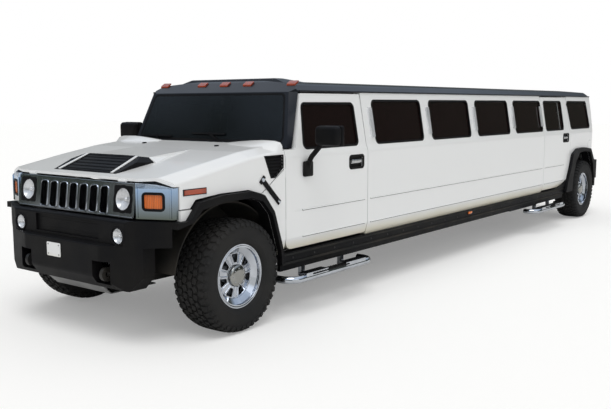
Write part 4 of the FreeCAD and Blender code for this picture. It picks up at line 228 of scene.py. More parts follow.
# %% [markdown]
# ## Finishes
#
# Every surface gets a node material on object coordinates, so a pattern stays put when a door
# swings. Each starts from the Principled shader. A number that is the same all over sits on the
# shader's own socket, and only what varies, such as dust or grain, comes through nodes.

# %% Finish helpers
def principled(name, colour, roughness, **sockets):
    """A material on the Principled shader, with constants on its own sockets."""
    material, nodes, links = new_material(name)
    shader = nodes["Principled BSDF"]
    shader.inputs["Base Color"].default_value = (*colour, 1.0)
    shader.inputs["Roughness"].default_value = roughness
    for socket, value in sockets.items():
        shader.inputs[socket.replace("_", " ")].default_value = value
    return material, nodes, links, shader


def placed(nodes, links, stretch=(1.0, 1.0, 1.0)):
    """The object's own coordinates, stretched along each axis."""
    where = nodes.new("ShaderNodeTexCoord")
    turn = nodes.new("ShaderNodeMapping")
    turn.inputs["Scale"].default_value = stretch
    links.new(where.outputs["Object"], turn.inputs["Vector"])
    return turn.outputs["Vector"]


def clouds(nodes, links, scale, detail=3.0, stretch=(1.0, 1.0, 1.0)):
    """Soft random patches, counted per metre."""
    texture = nodes.new("ShaderNodeTexNoise")
    texture.inputs["Scale"].default_value = scale
    texture.inputs["Detail"].default_value = detail
    links.new(placed(nodes, links, stretch), texture.inputs["Vector"])
    return texture.outputs["Fac"]


def pebbles(nodes, links, scale):
    """Small cells, as in moulded grain or leather."""
    texture = nodes.new("ShaderNodeTexVoronoi")
    texture.inputs["Scale"].default_value = scale
    links.new(placed(nodes, links), texture.inputs["Vector"])
    return texture.outputs["Distance"]


def height_share(nodes, links, low, high):
    """0 at one height above the ground and 1 at another."""
    split = nodes.new("ShaderNodeSeparateXYZ")
    links.new(placed(nodes, links), split.inputs[0])
    share = nodes.new("ShaderNodeMapRange")
    share.inputs["From Min"].default_value = low
    share.inputs["From Max"].default_value = high
    links.new(split.outputs["Z"], share.inputs["Value"])
    return share.outputs["Result"]


def between(nodes, links, share, low, high):
    """A number that follows a share from one value to another."""
    spread = nodes.new("ShaderNodeMapRange")
    spread.inputs["To Min"].default_value = low
    spread.inputs["To Max"].default_value = high
    links.new(share, spread.inputs["Value"])
    return spread.outputs["Result"]


def relief(nodes, links, shader, source, distance, strength=1.0):
    """Raise the surface where a pattern is high, up to a distance in metres."""
    bump = nodes.new("ShaderNodeBump")
    bump.inputs["Distance"].default_value = distance
    bump.inputs["Strength"].default_value = strength
    links.new(source, bump.inputs["Height"])
    links.new(bump.outputs["Normal"], shader.inputs["Normal"])

# %% [markdown]
# ### Paint
#
# White paint is a pale base under a clear coat. Below the lowest body line it is painted darker
# and creamier: painted shade and a painted reflection of the ground where the body tucks under,
# with some road dust. Its polish is never quite even. The black roof is the same paint with
# another base. A coat layer gives both the sharp highlight over a softer one.

# %% Paint
def make_paint(name, clean, dust_and_painted_shade, low, high, roughness, coat):
    """Paint that turns to its lower colour between two heights: dust, and on white paint also
    painted shade and a painted reflection of the ground.
    """
    material, nodes, links, shader = principled(name, clean, roughness, Coat_Weight=coat,
                                                Coat_Roughness=0.06, Specular_IOR_Level=coat)
    # Below the lower height the colour goes darker: on white paint this is painted shade and a
    # painted reflection of the ground where the body tucks under, mixed with road dust.
    share = height_share(nodes, links, low, high)
    patch = nodes.new("ShaderNodeMath")
    patch.operation = "MULTIPLY_ADD"
    patch.inputs[1].default_value = 0.35
    links.new(clouds(nodes, links, 2.2, 5.0), patch.inputs[0])
    links.new(share, patch.inputs[2])
    links.new(ramp(nodes, links, patch.outputs[0], [(0.10, dust_and_painted_shade), (0.75, clean)]),
              shader.inputs["Base Color"])
    links.new(between(nodes, links, clouds(nodes, links, 3.1), roughness - 0.07, roughness + 0.10),
              shader.inputs["Roughness"])
    relief(nodes, links, shader, clouds(nodes, links, 170.0, 1.0), 0.0002, 0.12)
    return material


FINISH = {
    # White paint: darker and creamier below the tuck line, painted shade and painted ground
    # reflection with some road dust.
    "white_paint": make_paint("white_paint", (0.84, 0.85, 0.85), (0.72, 0.68, 0.54),
                              0.55, 0.68, 0.30, 0.55),
    "black_paint": make_paint("black_paint", (0.006, 0.007, 0.011), (0.012, 0.012, 0.013),
                              1.3, 1.4, 0.30, 0.25),
}

# %% [markdown]
# ### Bright metal
#
# Chrome is a mirror whose colour comes from the sky bands, so it only needs faint smears. The
# lamp bezels have a painted reflection in their colour: dark like the ground at their foot, sky
# blue higher up and pale at the top. Bare metal is duller, and long thin noise along one axis
# makes it look brushed.

# %% Bright metal
BEZEL_FOOT, BEZEL_HEAD = 0.90, 1.20


def make_chrome(name, colour, roughness, smear, metallic=1.0):
    """A mirror with faint smears."""
    material, nodes, links, shader = principled(name, colour, roughness, Metallic=metallic)
    links.new(between(nodes, links, clouds(nodes, links, 9.0, 6.0), roughness, roughness + smear),
              shader.inputs["Roughness"])
    dull = tuple(0.72 * part for part in colour)
    links.new(ramp(nodes, links, clouds(nodes, links, 5.0, 4.0), [(0.30, dull), (0.62, colour)]),
              shader.inputs["Base Color"])
    return material, nodes, links, shader


def make_brushed(name, colour, roughness, stretch):
    """Metal with fine scratches along one axis."""
    material, nodes, links, shader = make_chrome(name, colour, roughness, 0.12)
    relief(nodes, links, shader, clouds(nodes, links, 1.0, 2.0, stretch), 0.0003, 0.35)
    return material


def make_bezel_chrome():
    """Chrome with a painted reflection in its colour: the ground's dark at its foot, sky blue and a
    pale painted highlight towards its top.
    """
    material, nodes, links, shader = make_chrome("bezel_chrome_painted_reflection", (0.60, 0.66, 0.74), 0.04, 0.08)
    # Painted reflection: dark ground colour at the foot, sky blue higher up and a pale painted
    # highlight at the top.
    stops = [(0.0, (0.10, 0.11, 0.07)), (0.35, (0.24, 0.29, 0.33)), (0.75, (0.36, 0.50, 0.70)),
             (1.0, (0.66, 0.72, 0.78))]
    links.new(ramp(nodes, links, height_share(nodes, links, BEZEL_FOOT, BEZEL_HEAD), stops),
              shader.inputs["Base Color"])
    return material


FINISH["chrome"] = make_chrome("chrome", (0.62, 0.65, 0.70), 0.04, 0.10)[0]
FINISH["cap_chrome"] = make_chrome("cap_chrome", (0.38, 0.38, 0.36), 0.08, 0.10)[0]
FINISH["bezel_chrome_painted_reflection"] = make_bezel_chrome()
FINISH["bright_trim"] = make_chrome("bright_trim", (0.66, 0.67, 0.68), 0.18, 0.15)[0]
FINISH["bare_metal"] = make_brushed("bare_metal", (0.42, 0.42, 0.42), 0.38, (6.0, 260.0, 260.0))

# %% [markdown]
# ### Dark coatings and plastic
#
# Bumpers and flares are black plastic with a fine moulded grain that scatters the light. Dust
# greys it in patches. Frame parts are satin paint, and the underside carries dried dirt.

# %% Dark coatings
def make_grained(name, colour, dust, roughness, grain, depth, gloss=0.5):
    """A dark surface with a pebbled grain and patches of dust."""
    material, nodes, links, shader = principled(name, colour, roughness, Specular_IOR_Level=gloss)
    links.new(ramp(nodes, links, clouds(nodes, links, 2.6, 6.0), [(0.42, colour), (0.80, dust)]),
              shader.inputs["Base Color"])
    links.new(between(nodes, links, clouds(nodes, links, 7.0), roughness - 0.08, roughness + 0.08),
              shader.inputs["Roughness"])
    relief(nodes, links, shader, pebbles(nodes, links, grain), depth, 0.5)
    return material


FINISH["black_plastic"] = make_grained("black_plastic", (0.005, 0.005, 0.006),
                                       (0.012, 0.011, 0.010), 0.50, 620.0, 0.0004, 0.12)
FINISH["cabin_plastic"] = make_grained("cabin_plastic", (0.035, 0.032, 0.030),
                                       (0.050, 0.046, 0.042), 0.58, 420.0, 0.0005)
FINISH["frame_black"] = make_grained("frame_black", (0.020, 0.020, 0.020),
                                     (0.040, 0.035, 0.029), 0.48, 150.0, 0.0006, 0.3)
FINISH["underbody"] = make_grained("underbody", (0.014, 0.014, 0.013),
                                   (0.045, 0.038, 0.030), 0.75, 90.0, 0.0012, 0.25)
FINISH["engine_metal"] = make_grained("engine_metal", (0.17, 0.17, 0.17),
                                      (0.09, 0.08, 0.07), 0.60, 220.0, 0.0010)

# %% [markdown]
# ### Rubber and leather
#
# Tyre rubber is dark, matt and faintly brown where dust sits. Seat leather has a pebbled grain
# that is about two millimetres across and a soft sheen.

# %% Rubber and leather
def make_leather(name, colour, worn):
    """Pebbled leather with worn patches."""
    material, nodes, links, shader = principled(name, colour, 0.42, Sheen_Weight=0.12,
                                                Sheen_Roughness=0.4)
    links.new(ramp(nodes, links, clouds(nodes, links, 6.0, 5.0), [(0.35, colour), (0.75, worn)]),
              shader.inputs["Base Color"])
    links.new(between(nodes, links, clouds(nodes, links, 11.0), 0.34, 0.52),
              shader.inputs["Roughness"])
    relief(nodes, links, shader, pebbles(nodes, links, 480.0), 0.0008, 0.6)
    return material


FINISH["tyre_rubber"] = make_grained("tyre_rubber", (0.012, 0.012, 0.012),
                                     (0.022, 0.020, 0.018), 0.72, 300.0, 0.0003, 0.3)
FINISH["seat_leather"] = make_leather("seat_leather", (0.050, 0.046, 0.043), (0.075, 0.069, 0.064))
FINISH["lounge_leather"] = make_leather("lounge_leather", (0.115, 0.012, 0.016),
                                        (0.17, 0.025, 0.028))

# %% [markdown]
# ### Glass and lenses
#
# Glass on a car is a thin sheet, so it is made see-through by its alpha and keeps a sharp
# reflection. The tint is its base colour. Lamp lenses are clear, amber or red plastic, with
# fine ribs that spread the light, their colour darker between the ribs as painted shade.

# %% Glass and lenses
def make_pane(name, colour, alpha, streak):
    """A thin tinted pane with faint streaks."""
    material, nodes, links, shader = principled(name, colour, 0.02, IOR=1.5,
                                                Specular_IOR_Level=0.4)
    links.new(between(nodes, links, clouds(nodes, links, 1.7, 6.0), alpha - streak, alpha + streak),
              shader.inputs["Alpha"])
    links.new(between(nodes, links, clouds(nodes, links, 4.0, 8.0), 0.015, 0.05),
              shader.inputs["Roughness"])
    return material


def make_lens(name, colour, alpha, ribs):
    """A ribbed plastic lens, darker in the grooves between its ribs as painted shade."""
    material, nodes, links, shader = principled(name, colour, 0.12, Alpha=alpha, Coat_Weight=0.6,
                                                Coat_Roughness=0.03)
    wave = nodes.new("ShaderNodeTexWave")
    wave.bands_direction = "Y"
    wave.inputs["Scale"].default_value = ribs
    wave.inputs["Distortion"].default_value = 0.0
    links.new(placed(nodes, links), wave.inputs["Vector"])
    # Painted shade: the colour is dulled where the wave is low, in the grooves between the raised
    # ribs.
    dull = tuple(0.6 * part for part in colour)
    links.new(ramp(nodes, links, wave.outputs["Fac"], [(0.0, dull), (0.7, colour)]),
              shader.inputs["Base Color"])
    relief(nodes, links, shader, wave.outputs["Fac"], 0.002, 0.5)
    return material


FINISH["clear_glass"] = make_pane("clear_glass", (0.004, 0.006, 0.007), 0.84, 0.05)
FINISH["dark_glass"] = make_pane("dark_glass", (0.009, 0.004, 0.004), 0.92, 0.03)
FINISH["lamp_glass"] = make_lens("lamp_glass", (0.86, 0.88, 0.90), 0.08, 9.0)
FINISH["amber_lens"] = make_lens("amber_lens", (0.78, 0.17, 0.012), 1.0, 26.0)
FINISH["marker_lens"] = make_lens("marker_lens", (0.40, 0.055, 0.014), 1.0, 26.0)
FINISH["lamp_silver"] = make_chrome("lamp_silver", (0.94, 0.95, 0.97), 0.18, 0.08, 0.60)[0]
FINISH["red_lens"] = make_lens("red_lens", (0.48, 0.012, 0.012), 1.0, 26.0)
print(len(FINISH), "finishes")

# %% [markdown]
# Each finished body takes the material of its slot. The solids were given plain colours before,
# so every material slot of each one is filled again from the table above.

# %% Dress the bodies
SLOT_OF = {part["node"]: part["material_slot"] for part in frame["record"]["subparts"]}
SLOT_OF.update(marker_lamps="marker_lens", opera_lamps="lamp_silver",
               lamp_bezels="bezel_chrome_painted_reflection")
for name, item in frame["nodes"].items():
    for place in item.material_slots:
        place.material = FINISH[SLOT_OF[name]]
print(len(frame["nodes"]), "bodies dressed")

# %% [markdown]
# ## Helpers for new pieces
#
# Small shapes are made round the origin, then gathered into one mesh at their places. The piece
# is finished once: normals outwards, smooth faces with sharp edges kept, one material, and a
# ride on the body that carries it.

# %% Piece helpers
def shift(x=0.0, y=0.0, z=0.0):
    """A move."""
    return Matrix.Translation((x, y, z))


def turn(degrees, axis):
    """A turn about an axis through the origin."""
    return Matrix.Rotation(math.radians(degrees), 4, axis)


def block(length, width, height, edge, segments=2):
    """A box round the origin with softened edges."""
    bm = bmesh.new()
    bmesh.ops.create_cube(bm, size=1.0)
    bmesh.ops.scale(bm, vec=(length, width, height), verts=bm.verts)
    if edge:
        bmesh.ops.bevel(bm, geom=bm.edges, offset=edge, segments=segments, profile=0.5,
                        affect="EDGES", material=-1)
    return bm


def turned(profile, steps):
    """Spin a profile of (across, radius) points round the Y axis."""
    bm = bmesh.new()
    line = [bm.verts.new((radius, across, 0.0)) for across, radius in profile]
    edges = [bm.edges.new(pair) for pair in zip(line, line[1:])]
    bmesh.ops.spin(bm, geom=line + edges, cent=(0, 0, 0), axis=(0, 1, 0), angle=math.tau,
                   steps=steps, use_merge=True)
    bmesh.ops.remove_doubles(bm, verts=bm.verts, dist=1e-6)
    return bm


def panel(corners, radius=0.0, segments=5):
    """A flat face in the side view through (x, z) corners, rounded if asked."""
    bm = bmesh.new()
    bm.faces.new([bm.verts.new((x, 0.0, z)) for x, z in corners])
    if radius:
        bmesh.ops.bevel(bm, geom=bm.verts, offset=radius, segments=segments, profile=0.5,
                        affect="VERTICES", material=-1)
    return bm


def thicken(bm, depth):
    """Draw a flat shape out along Y into a closed solid."""
    made = bmesh.ops.extrude_face_region(bm, geom=bm.faces[:])["geom"]
    bmesh.ops.translate(bm, vec=(0.0, depth, 0.0),
                        verts=[v for v in made if isinstance(v, bmesh.types.BMVert)])
    return bm


def gather(bm, shape, *places):
    """Copy a small shape into a bigger mesh, once at each place or where it is, and drop it."""
    mesh = bpy.data.meshes.new("shape")
    for place in places or (Matrix(),):
        shape.to_mesh(mesh)
        mesh.transform(place)
        bm.from_mesh(mesh)
    shape.free()
    bpy.data.meshes.remove(mesh)


def both_sides(bm):
    """Add the mirror image on the other side of the car."""
    bmesh.ops.mirror(bm, geom=bm.verts[:] + bm.edges[:] + bm.faces[:], axis="Y",
                     merge_dist=-1.0)
    return bm


def piece(name, bm, finish, body, sharp=32.0):
    """Turn a bmesh into a finished piece that rides on a body."""
    bmesh.ops.recalc_face_normals(bm, faces=bm.faces)
    mesh = bpy.data.meshes.new(name)
    bm.to_mesh(mesh)
    bm.free()
    mesh.materials.append(FINISH[finish])
    mesh.shade_smooth()
    mesh.set_sharp_from_angle(angle=math.radians(sharp))
    item = bpy.data.objects.new(name, mesh)
    bpy.context.scene.collection.objects.link(item)
    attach(item, body)
    print(name, len(mesh.polygons), "faces on", body)
    return item

# %% Paths, sections and small parts
def rounded(corners, radius, steps=5):
    """Corners of a flat outline with an arc at each."""
    made = []
    count = len(corners)
    for number, corner in enumerate(corners):
        here = Vector(corner)
        arm = (Vector(corners[number - 1]) - here).normalized()
        leg = (Vector(corners[(number + 1) % count]) - here).normalized()
        half = arm.angle(leg) / 2.0
        centre = here + (arm + leg).normalized() * (radius / math.sin(half))
        start = here + arm * (radius / math.tan(half)) - centre
        end = here + leg * (radius / math.tan(half)) - centre
        for step in range(steps + 1):
            made.append(centre + start.lerp(end, step / steps).normalized() * radius)
    return made


def ring(radius, sides=8):
    """A round section for a sweep."""
    return [(radius * math.cos(math.tau * n / sides), radius * math.sin(math.tau * n / sides))
            for n in range(sides)]


def strip(width, height, sink=0.001):
    """A flat section with eased upper edges, its foot sunk a little."""
    half, ease = width / 2.0, min(width, height) * 0.28
    return [(-half, -sink), (half, -sink), (half, height - ease), (half - ease, height),
            (-half + ease, height), (-half, height - ease)]


def sweep(points, section, up=None, closed=False):
    """Carry a section along a path; up fixes which way its top faces."""
    bm = bmesh.new()
    points = [Vector(point) for point in points]
    count = len(points)
    rings = []
    top = None
    for number, point in enumerate(points):
        into = (point - points[number - 1]).normalized() if closed or number else None
        out = ((points[(number + 1) % count] - point).normalized()
               if closed or number < count - 1 else None)
        along = ((into or out) + (out or into)).normalized()
        top = Vector(up) if up else (top or along.orthogonal())
        side = top.cross(along).normalized()
        top = along.cross(side).normalized()
        mitre = 1.0 / max(0.6, along.dot(out or into))
        rings.append([bm.verts.new(point + side * (across * mitre) + top * high)
                      for across, high in section])
    size = len(section)
    for one, two in zip(rings, rings[1:] + (rings[:1] if closed else [])):
        for n in range(size):
            bm.faces.new((one[n], one[(n + 1) % size], two[(n + 1) % size], two[n]))
    if not closed:
        bm.faces.new(rings[0][::-1])
        bm.faces.new(rings[-1])
    return bm


def arc(centre, radius, start, end, steps, axis="Y"):
    """Points on an arc round an axis, its angles in degrees from +X (or from +Y for X)."""
    made = []
    for step in range(steps + 1):
        angle = math.radians(start + (end - start) * step / steps)
        a, b = radius * math.cos(angle), radius * math.sin(angle)
        offset = {"Y": (a, 0.0, b), "X": (0.0, a, b), "Z": (a, b, 0.0)}[axis]
        made.append(Vector(centre) + Vector(offset))
    return made


def disc(radius, depth, sides=24, edge=0.0):
    """A short round bar along Y, its front rim eased if asked."""
    if edge:
        return turned([(0.0, 0.0), (0.0, radius), (depth - edge, radius), (depth, radius - edge),
                       (depth, 0.0)], sides)
    return turned([(0.0, 0.0), (0.0, radius), (depth, radius), (depth, 0.0)], sides)


def here(bm, *places):
    """A new mesh that holds a small shape at each place."""
    made = bmesh.new()
    gather(made, bm, *places)
    return made


SIDES = (("left", 1.0, Matrix()), ("right", -1.0, Matrix.Scale(-1.0, 4, (0.0, 1.0, 0.0))))
AHEAD = turn(-90.0, "Z")

# %% [markdown]
# ## Tyres
#
# The tyres are tall and blocky, for rough ground. The carcass is one profile spun round the
# axle. The tread has four rows of blocks on each side of the middle. Each block is a bevelled
# box that is copied round the carcass, so the grooves between the blocks are real.

# %% Tyre sizes
WHEELBASE = 7.691
FRONT_AXLE, REAR_AXLE = 3.835, 3.835 - WHEELBASE
HALF_TRACK, HUB_HEIGHT = 0.8815, 0.432
TYRE_RADIUS = 0.432
TREAD_DEPTH, BLOCK_SINK, BLOCK_EDGE = 0.013, 0.006, 0.0022
BLOCKS, BLOCK_TWIST = 44, 18.0
# Each row: across, width, length, drop below the crown, lean, offset on the left half.
TREAD_ROWS = ((0.027, 0.038, 0.046, 0.0, 0.0, 0.0), (0.074, 0.036, 0.044, 0.0010, -1.5, 0.5),
              (0.125, 0.044, 0.040, 0.0095, -17.0, 0.0), (0.1475, 0.030, 0.034, 0.0330, -62.0, 0.0))

# %% Tyre carcass
def tyre_carcass():
    """The plain tyre, spun from one profile."""
    crown = TYRE_RADIUS - TREAD_DEPTH
    half = [(0.0, crown), (0.070, crown - 0.001), (0.118, crown - 0.004), (0.140, crown - 0.012),
            (0.1535, crown - 0.034), (0.1560, 0.345), (0.1572, 0.318), (0.1545, 0.290),
            (0.1550, 0.287), (0.1530, 0.283), (0.1450, 0.262), (0.1290, 0.2475), (0.1179, 0.2435),
            (0.1177, 0.2325)]
    mirrored = [(-across, radius) for across, radius in reversed(half[1:])]
    return turned(mirrored + half + [mirrored[0]], 96)

# %% Tread blocks
def tread_row(bm, across, width, length, radius, lean, offset):
    """One row of blocks round the tyre, twisted to and fro."""
    shape = block(length, width, TREAD_DEPTH + BLOCK_SINK, BLOCK_EDGE, 1)
    places = []
    for number in range(BLOCKS):
        twist = BLOCK_TWIST if number % 2 else -BLOCK_TWIST
        places.append(turn(360.0 * (number + offset) / BLOCKS, "Y") @ shift(y=across, z=radius)
                      @ turn(lean, "X") @ turn(twist, "Z"))
    gather(bm, shape, *places)


def tyre(end, side, sign):
    """A dressed tyre in the place of the plain one."""
    bm = tyre_carcass()
    middle = TYRE_RADIUS - (TREAD_DEPTH + BLOCK_SINK) / 2.0
    for half in (-1.0, 1.0):
        for across, width, length, drop, lean, offset in TREAD_ROWS:
            tread_row(bm, across * half, width, length, middle - drop, lean * half,
                      offset if half > 0 else 0.5 - offset)
    station = FRONT_AXLE if end == "front" else REAR_AXLE
    bmesh.ops.translate(bm, vec=(station, HALF_TRACK * sign, HUB_HEIGHT), verts=bm.verts)
    node = f"{end}_{side}_tyre"
    item = piece(node + "_tread", bm, "tyre_rubber", f"{end}_{side}_wheel")
    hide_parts(node)


for end in ("front", "rear"):
    for side, sign, flip in SIDES:
        tyre(end, side, sign)

# %% [markdown]
# ## Seats
#
# The seats are leather over foam. One plain cushion of each size is blown up with cloth under
# light pressure, then copied, because the same pad is sewn many times in such a car. The
# plinths below are plain plastic.

# %% Padded cushion
PAD_CELL, PAD_PRESSURE, PAD_FRAMES = 0.022, 4.0, 14


def blown(mesh, cap):
    """Swell a mesh with cloth pressure, no point moving farther than the cap."""
    item = bpy.data.objects.new("pad", mesh)
    bpy.context.scene.collection.objects.link(item)
    remesh = item.modifiers.new("remesh", "REMESH")
    remesh.mode = "VOXEL"
    remesh.voxel_size = PAD_CELL
    start = bpy.data.meshes.new_from_object(item.evaluated_get(
        bpy.context.evaluated_depsgraph_get()))
    item.modifiers.clear()
    item.data = start
    before = [v.co.copy() for v in start.vertices]
    cloth = item.modifiers.new("cloth", "CLOTH")
    cloth.settings.use_pressure = True
    cloth.settings.uniform_pressure_force = PAD_PRESSURE
    cloth.settings.effector_weights.gravity = 0.0
    for number in range(1, PAD_FRAMES + 1):
        bpy.context.scene.frame_set(number)
    swollen = bpy.data.meshes.new_from_object(item.evaluated_get(
        bpy.context.evaluated_depsgraph_get()))
    bpy.context.scene.frame_set(1)
    for old, vertex in zip(before, swollen.vertices):
        step = vertex.co - old
        if step.length > cap:
            vertex.co = old + step * (cap / step.length)
    bpy.data.objects.remove(item)
    return swollen


def cushion(length, width, thick, cap=0.016):
    """A padded block round the origin that fills the given room."""
    bm = block(length - 2 * cap, width - 2 * cap, thick - 2 * cap, min(thick * 0.22, 0.03), 3)
    mesh = bpy.data.meshes.new("cushion")
    bm.to_mesh(mesh)
    bm.free()
    return blown(mesh, cap)


def gather_mesh(bm, mesh, *places):
    """Copy a finished cushion into a bigger mesh at each place."""
    for place in places:
        copy = mesh.copy()
        copy.transform(place)
        bm.from_mesh(copy)
        bpy.data.meshes.remove(copy)

# %% Front seats
SEAT_REAR, SEAT_SIDE, SEAT_TOP = 2.085, 0.400, 0.820
CABIN_FLOOR = 0.547


def front_seats():
    """Two bucket seats: cushion, back, headrest and side bolsters, each on a plinth."""
    pads = bmesh.new()
    seat, back = cushion(0.50, 0.46, 0.18), cushion(0.15, 0.46, 0.56)
    rest = cushion(0.115, 0.27, 0.17)
    side, wing = cushion(0.48, 0.075, 0.20), cushion(0.16, 0.075, 0.46)
    plinths = bmesh.new()
    for sign in (-1.0, 1.0):
        y = SEAT_SIDE * sign
        gather_mesh(pads, seat, shift(SEAT_REAR + 0.405, y, SEAT_TOP - 0.090))
        gather_mesh(pads, back, shift(SEAT_REAR + 0.080, y, SEAT_TOP + 0.180))
        gather_mesh(pads, rest, shift(SEAT_REAR + 0.066, y, 1.240))
        for edge in (-0.236, 0.236):
            gather_mesh(pads, side, shift(SEAT_REAR + 0.410, y + edge, SEAT_TOP - 0.085))
            gather_mesh(pads, wing, shift(SEAT_REAR + 0.092, y + edge, SEAT_TOP + 0.150))
        gather(plinths, block(0.50, 0.44, 0.100, 0.012), shift(SEAT_REAR + 0.35, y, 0.600))
        for edge in (-0.20, 0.20):
            gather(plinths, block(0.56, 0.036, 0.030, 0.006), shift(SEAT_REAR + 0.35, y + edge,
                                                                    CABIN_FLOOR + 0.016))
        for edge in (-0.055, 0.055):
            gather(plinths, turned([(-0.06, 0.0), (-0.06, 0.006), (0.06, 0.006), (0.06, 0.0)], 12),
                   shift(SEAT_REAR + 0.070, y + edge, 1.150) @ turn(90.0, "X"))
    return pads, plinths


seat_pads, seat_plinths = front_seats()
front_pads = piece("front_seat_pads", seat_pads, "seat_leather", "root", sharp=60.0)
piece("front_seat_bases", seat_plinths, "cabin_plastic", "root")
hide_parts("front_seats")
print("front seats padded")

# %% [markdown]
# ## Lounge bench
#
# The bench runs down the right side and across the rear. Its seat and its back are rows of
# equal pads with a seam between each two, over a closed base. The leather is a deep red.

# %% Lounge bench
BENCH_REAR, BENCH_FRONT = -3.211, 1.445
BENCH_WALL, BENCH_BACK, BENCH_DEPTH = 0.884, 0.150, 0.560
BENCH_SEAT, BENCH_TOP = 0.930, 1.230


def lounge():
    """Seat and back pads in rows, and the base that they lie on."""
    pads = bmesh.new()
    bases = bmesh.new()
    count = 8
    first = BENCH_REAR + BENCH_BACK + BENCH_DEPTH
    pitch = (BENCH_FRONT - first) / count
    seat = cushion(pitch - 0.004, BENCH_DEPTH - 0.004, 0.150)
    back = cushion(pitch - 0.004, BENCH_BACK - 0.004, BENCH_TOP - BENCH_SEAT + 0.010)
    inner = -BENCH_WALL + BENCH_BACK
    for number in range(count):
        x = first + pitch * (number + 0.5)
        gather_mesh(pads, seat, shift(x, inner + BENCH_DEPTH / 2, BENCH_SEAT - 0.077))
        gather_mesh(pads, back, shift(x, -BENCH_WALL + BENCH_BACK / 2 + 0.001, 1.074))
    across = 3
    span = (BENCH_WALL - inner) / across
    seat = cushion(BENCH_DEPTH - 0.004, span - 0.004, 0.150)
    back = cushion(BENCH_BACK - 0.004, span - 0.004, BENCH_TOP - BENCH_SEAT + 0.010)
    for number in range(across):
        y = inner + span * (number + 0.5)
        gather_mesh(pads, seat, shift(BENCH_REAR + BENCH_BACK + BENCH_DEPTH / 2, y,
                                      BENCH_SEAT - 0.077))
        gather_mesh(pads, back, shift(BENCH_REAR + BENCH_BACK / 2 + 0.001, y, 1.074))
    gather_mesh(pads, cushion(BENCH_BACK - 0.004, BENCH_BACK - 0.004, BENCH_TOP - BENCH_SEAT),
                shift(BENCH_REAR + BENCH_BACK / 2, -BENCH_WALL + BENCH_BACK / 2, 1.074))
    height = BENCH_SEAT - 0.154 - CABIN_FLOOR
    depth = BENCH_BACK + BENCH_DEPTH - 0.03
    gather(bases, block(BENCH_FRONT - BENCH_REAR - 0.01, depth, height, 0.010),
           shift((BENCH_FRONT + BENCH_REAR) / 2, -BENCH_WALL + depth / 2 + 0.002,
                 CABIN_FLOOR + height / 2))
    gather(bases, block(depth, BENCH_WALL * 2 - depth - 0.004, height, 0.010),
           shift(BENCH_REAR + depth / 2 + 0.002, depth / 2, CABIN_FLOOR + height / 2))
    gather(bases, block(BENCH_FRONT - BENCH_REAR - 0.02, 0.02, 0.30, 0.004),
           shift((BENCH_FRONT + BENCH_REAR) / 2, -BENCH_WALL + 0.012, 0.93))
    return pads, bases


lounge_mesh, lounge_bases = lounge()
lounge_pads = piece("lounge_pads", lounge_mesh, "lounge_leather", "root",
                    sharp=60.0)
piece("lounge_base", lounge_bases, "cabin_plastic", "root")
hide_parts("lounge_bench")
print("lounge padded with", len(lounge_pads.data.polygons), "faces")

# %% [markdown]
# ## Wheels and brakes
#
# Each bright wheel has seven spokes with a raised U-shaped rib, seven dark ports between them,
# and a wide domed cap with a ring of studs. Behind the ports sit a ventilated brake disc, which
# turns with the wheel, and a caliper, which doesn't.

# %% Wheels and brakes
SPOKES = 7
SPOKE_FACE, DISH_DROP = 0.084, 0.012
CALIPER_ANGLE = 160.0


def dish(radius):
    """The spoke's face, counted out from the wheel's middle plane."""
    return SPOKE_FACE - DISH_DROP * (radius - 0.084) / (0.172 - 0.084)


def spoke_ribs():
    """The U-shaped ribs, one on each spoke."""
    bm = bmesh.new()
    path = [(-0.0150, 0.090), (-0.0200, 0.125), (-0.0235, 0.155), (-0.0200, 0.168),
            (-0.0100, 0.1735), (0.0, 0.1745), (0.0100, 0.1735), (0.0200, 0.168),
            (0.0235, 0.155), (0.0200, 0.125), (0.0150, 0.090)]
    points = [(x, dish(z) - 0.0005, z) for x, z in path]
    for number in range(SPOKES):
        angle = 360.0 * (number + 0.5) / SPOKES
        gather(bm, sweep(points, ring(0.0062, 8)), turn(angle, "Y"))
    return bm


def wheel_trim():
    """The ribs, rim beads and cap ring of one wheel."""
    bm = spoke_ribs()
    gather(bm, turned([(0.110, 0.040), (0.1135, 0.043), (0.1135, 0.047), (0.110, 0.050)], 48))
    for radius, across, thick in ((0.2305, 0.1275, 0.004), (0.1785, 0.0735, 0.003)):
        loop = arc((0.0, across, 0.0), radius, 0.0, 360.0 * 63 / 64, 63)
        gather(bm, sweep(loop, ring(thick, 6), closed=True))
    return bm


def wheel_studs():
    """Eight studs round the cap and the valve."""
    bm = bmesh.new()
    stud = [(0.0, 0.0), (0.0, 0.0052), (0.006, 0.0048), (0.009, 0.0028), (0.0098, 0.0)]
    for number in range(8):
        gather(bm, turned([(0.0, 0.0075), (0.008, 0.0075), (0.0095, 0.0062), (0.0095, 0.0)], 6),
               turn(45.0 * number, "Y") @ shift(0.0, 0.0835, 0.0762))
        gather(bm, turned(stud, 10), turn(45.0 * number, "Y") @ shift(0.0, 0.112, 0.0600))
    gather(bm, turned([(0.0, 0.0), (0.0, 0.004), (0.032, 0.0035), (0.034, 0.0)], 10),
           turn(12.0, "Y") @ shift(0.0, 0.100, 0.205))
    return bm


def wheel_cap():
    """The large domed cap over the hub."""
    return turned([(0.080, 0.086), (0.100, 0.085), (0.108, 0.080), (0.114, 0.066), (0.118, 0.045),
                   (0.120, 0.022), (0.1205, 0.0)], 56)


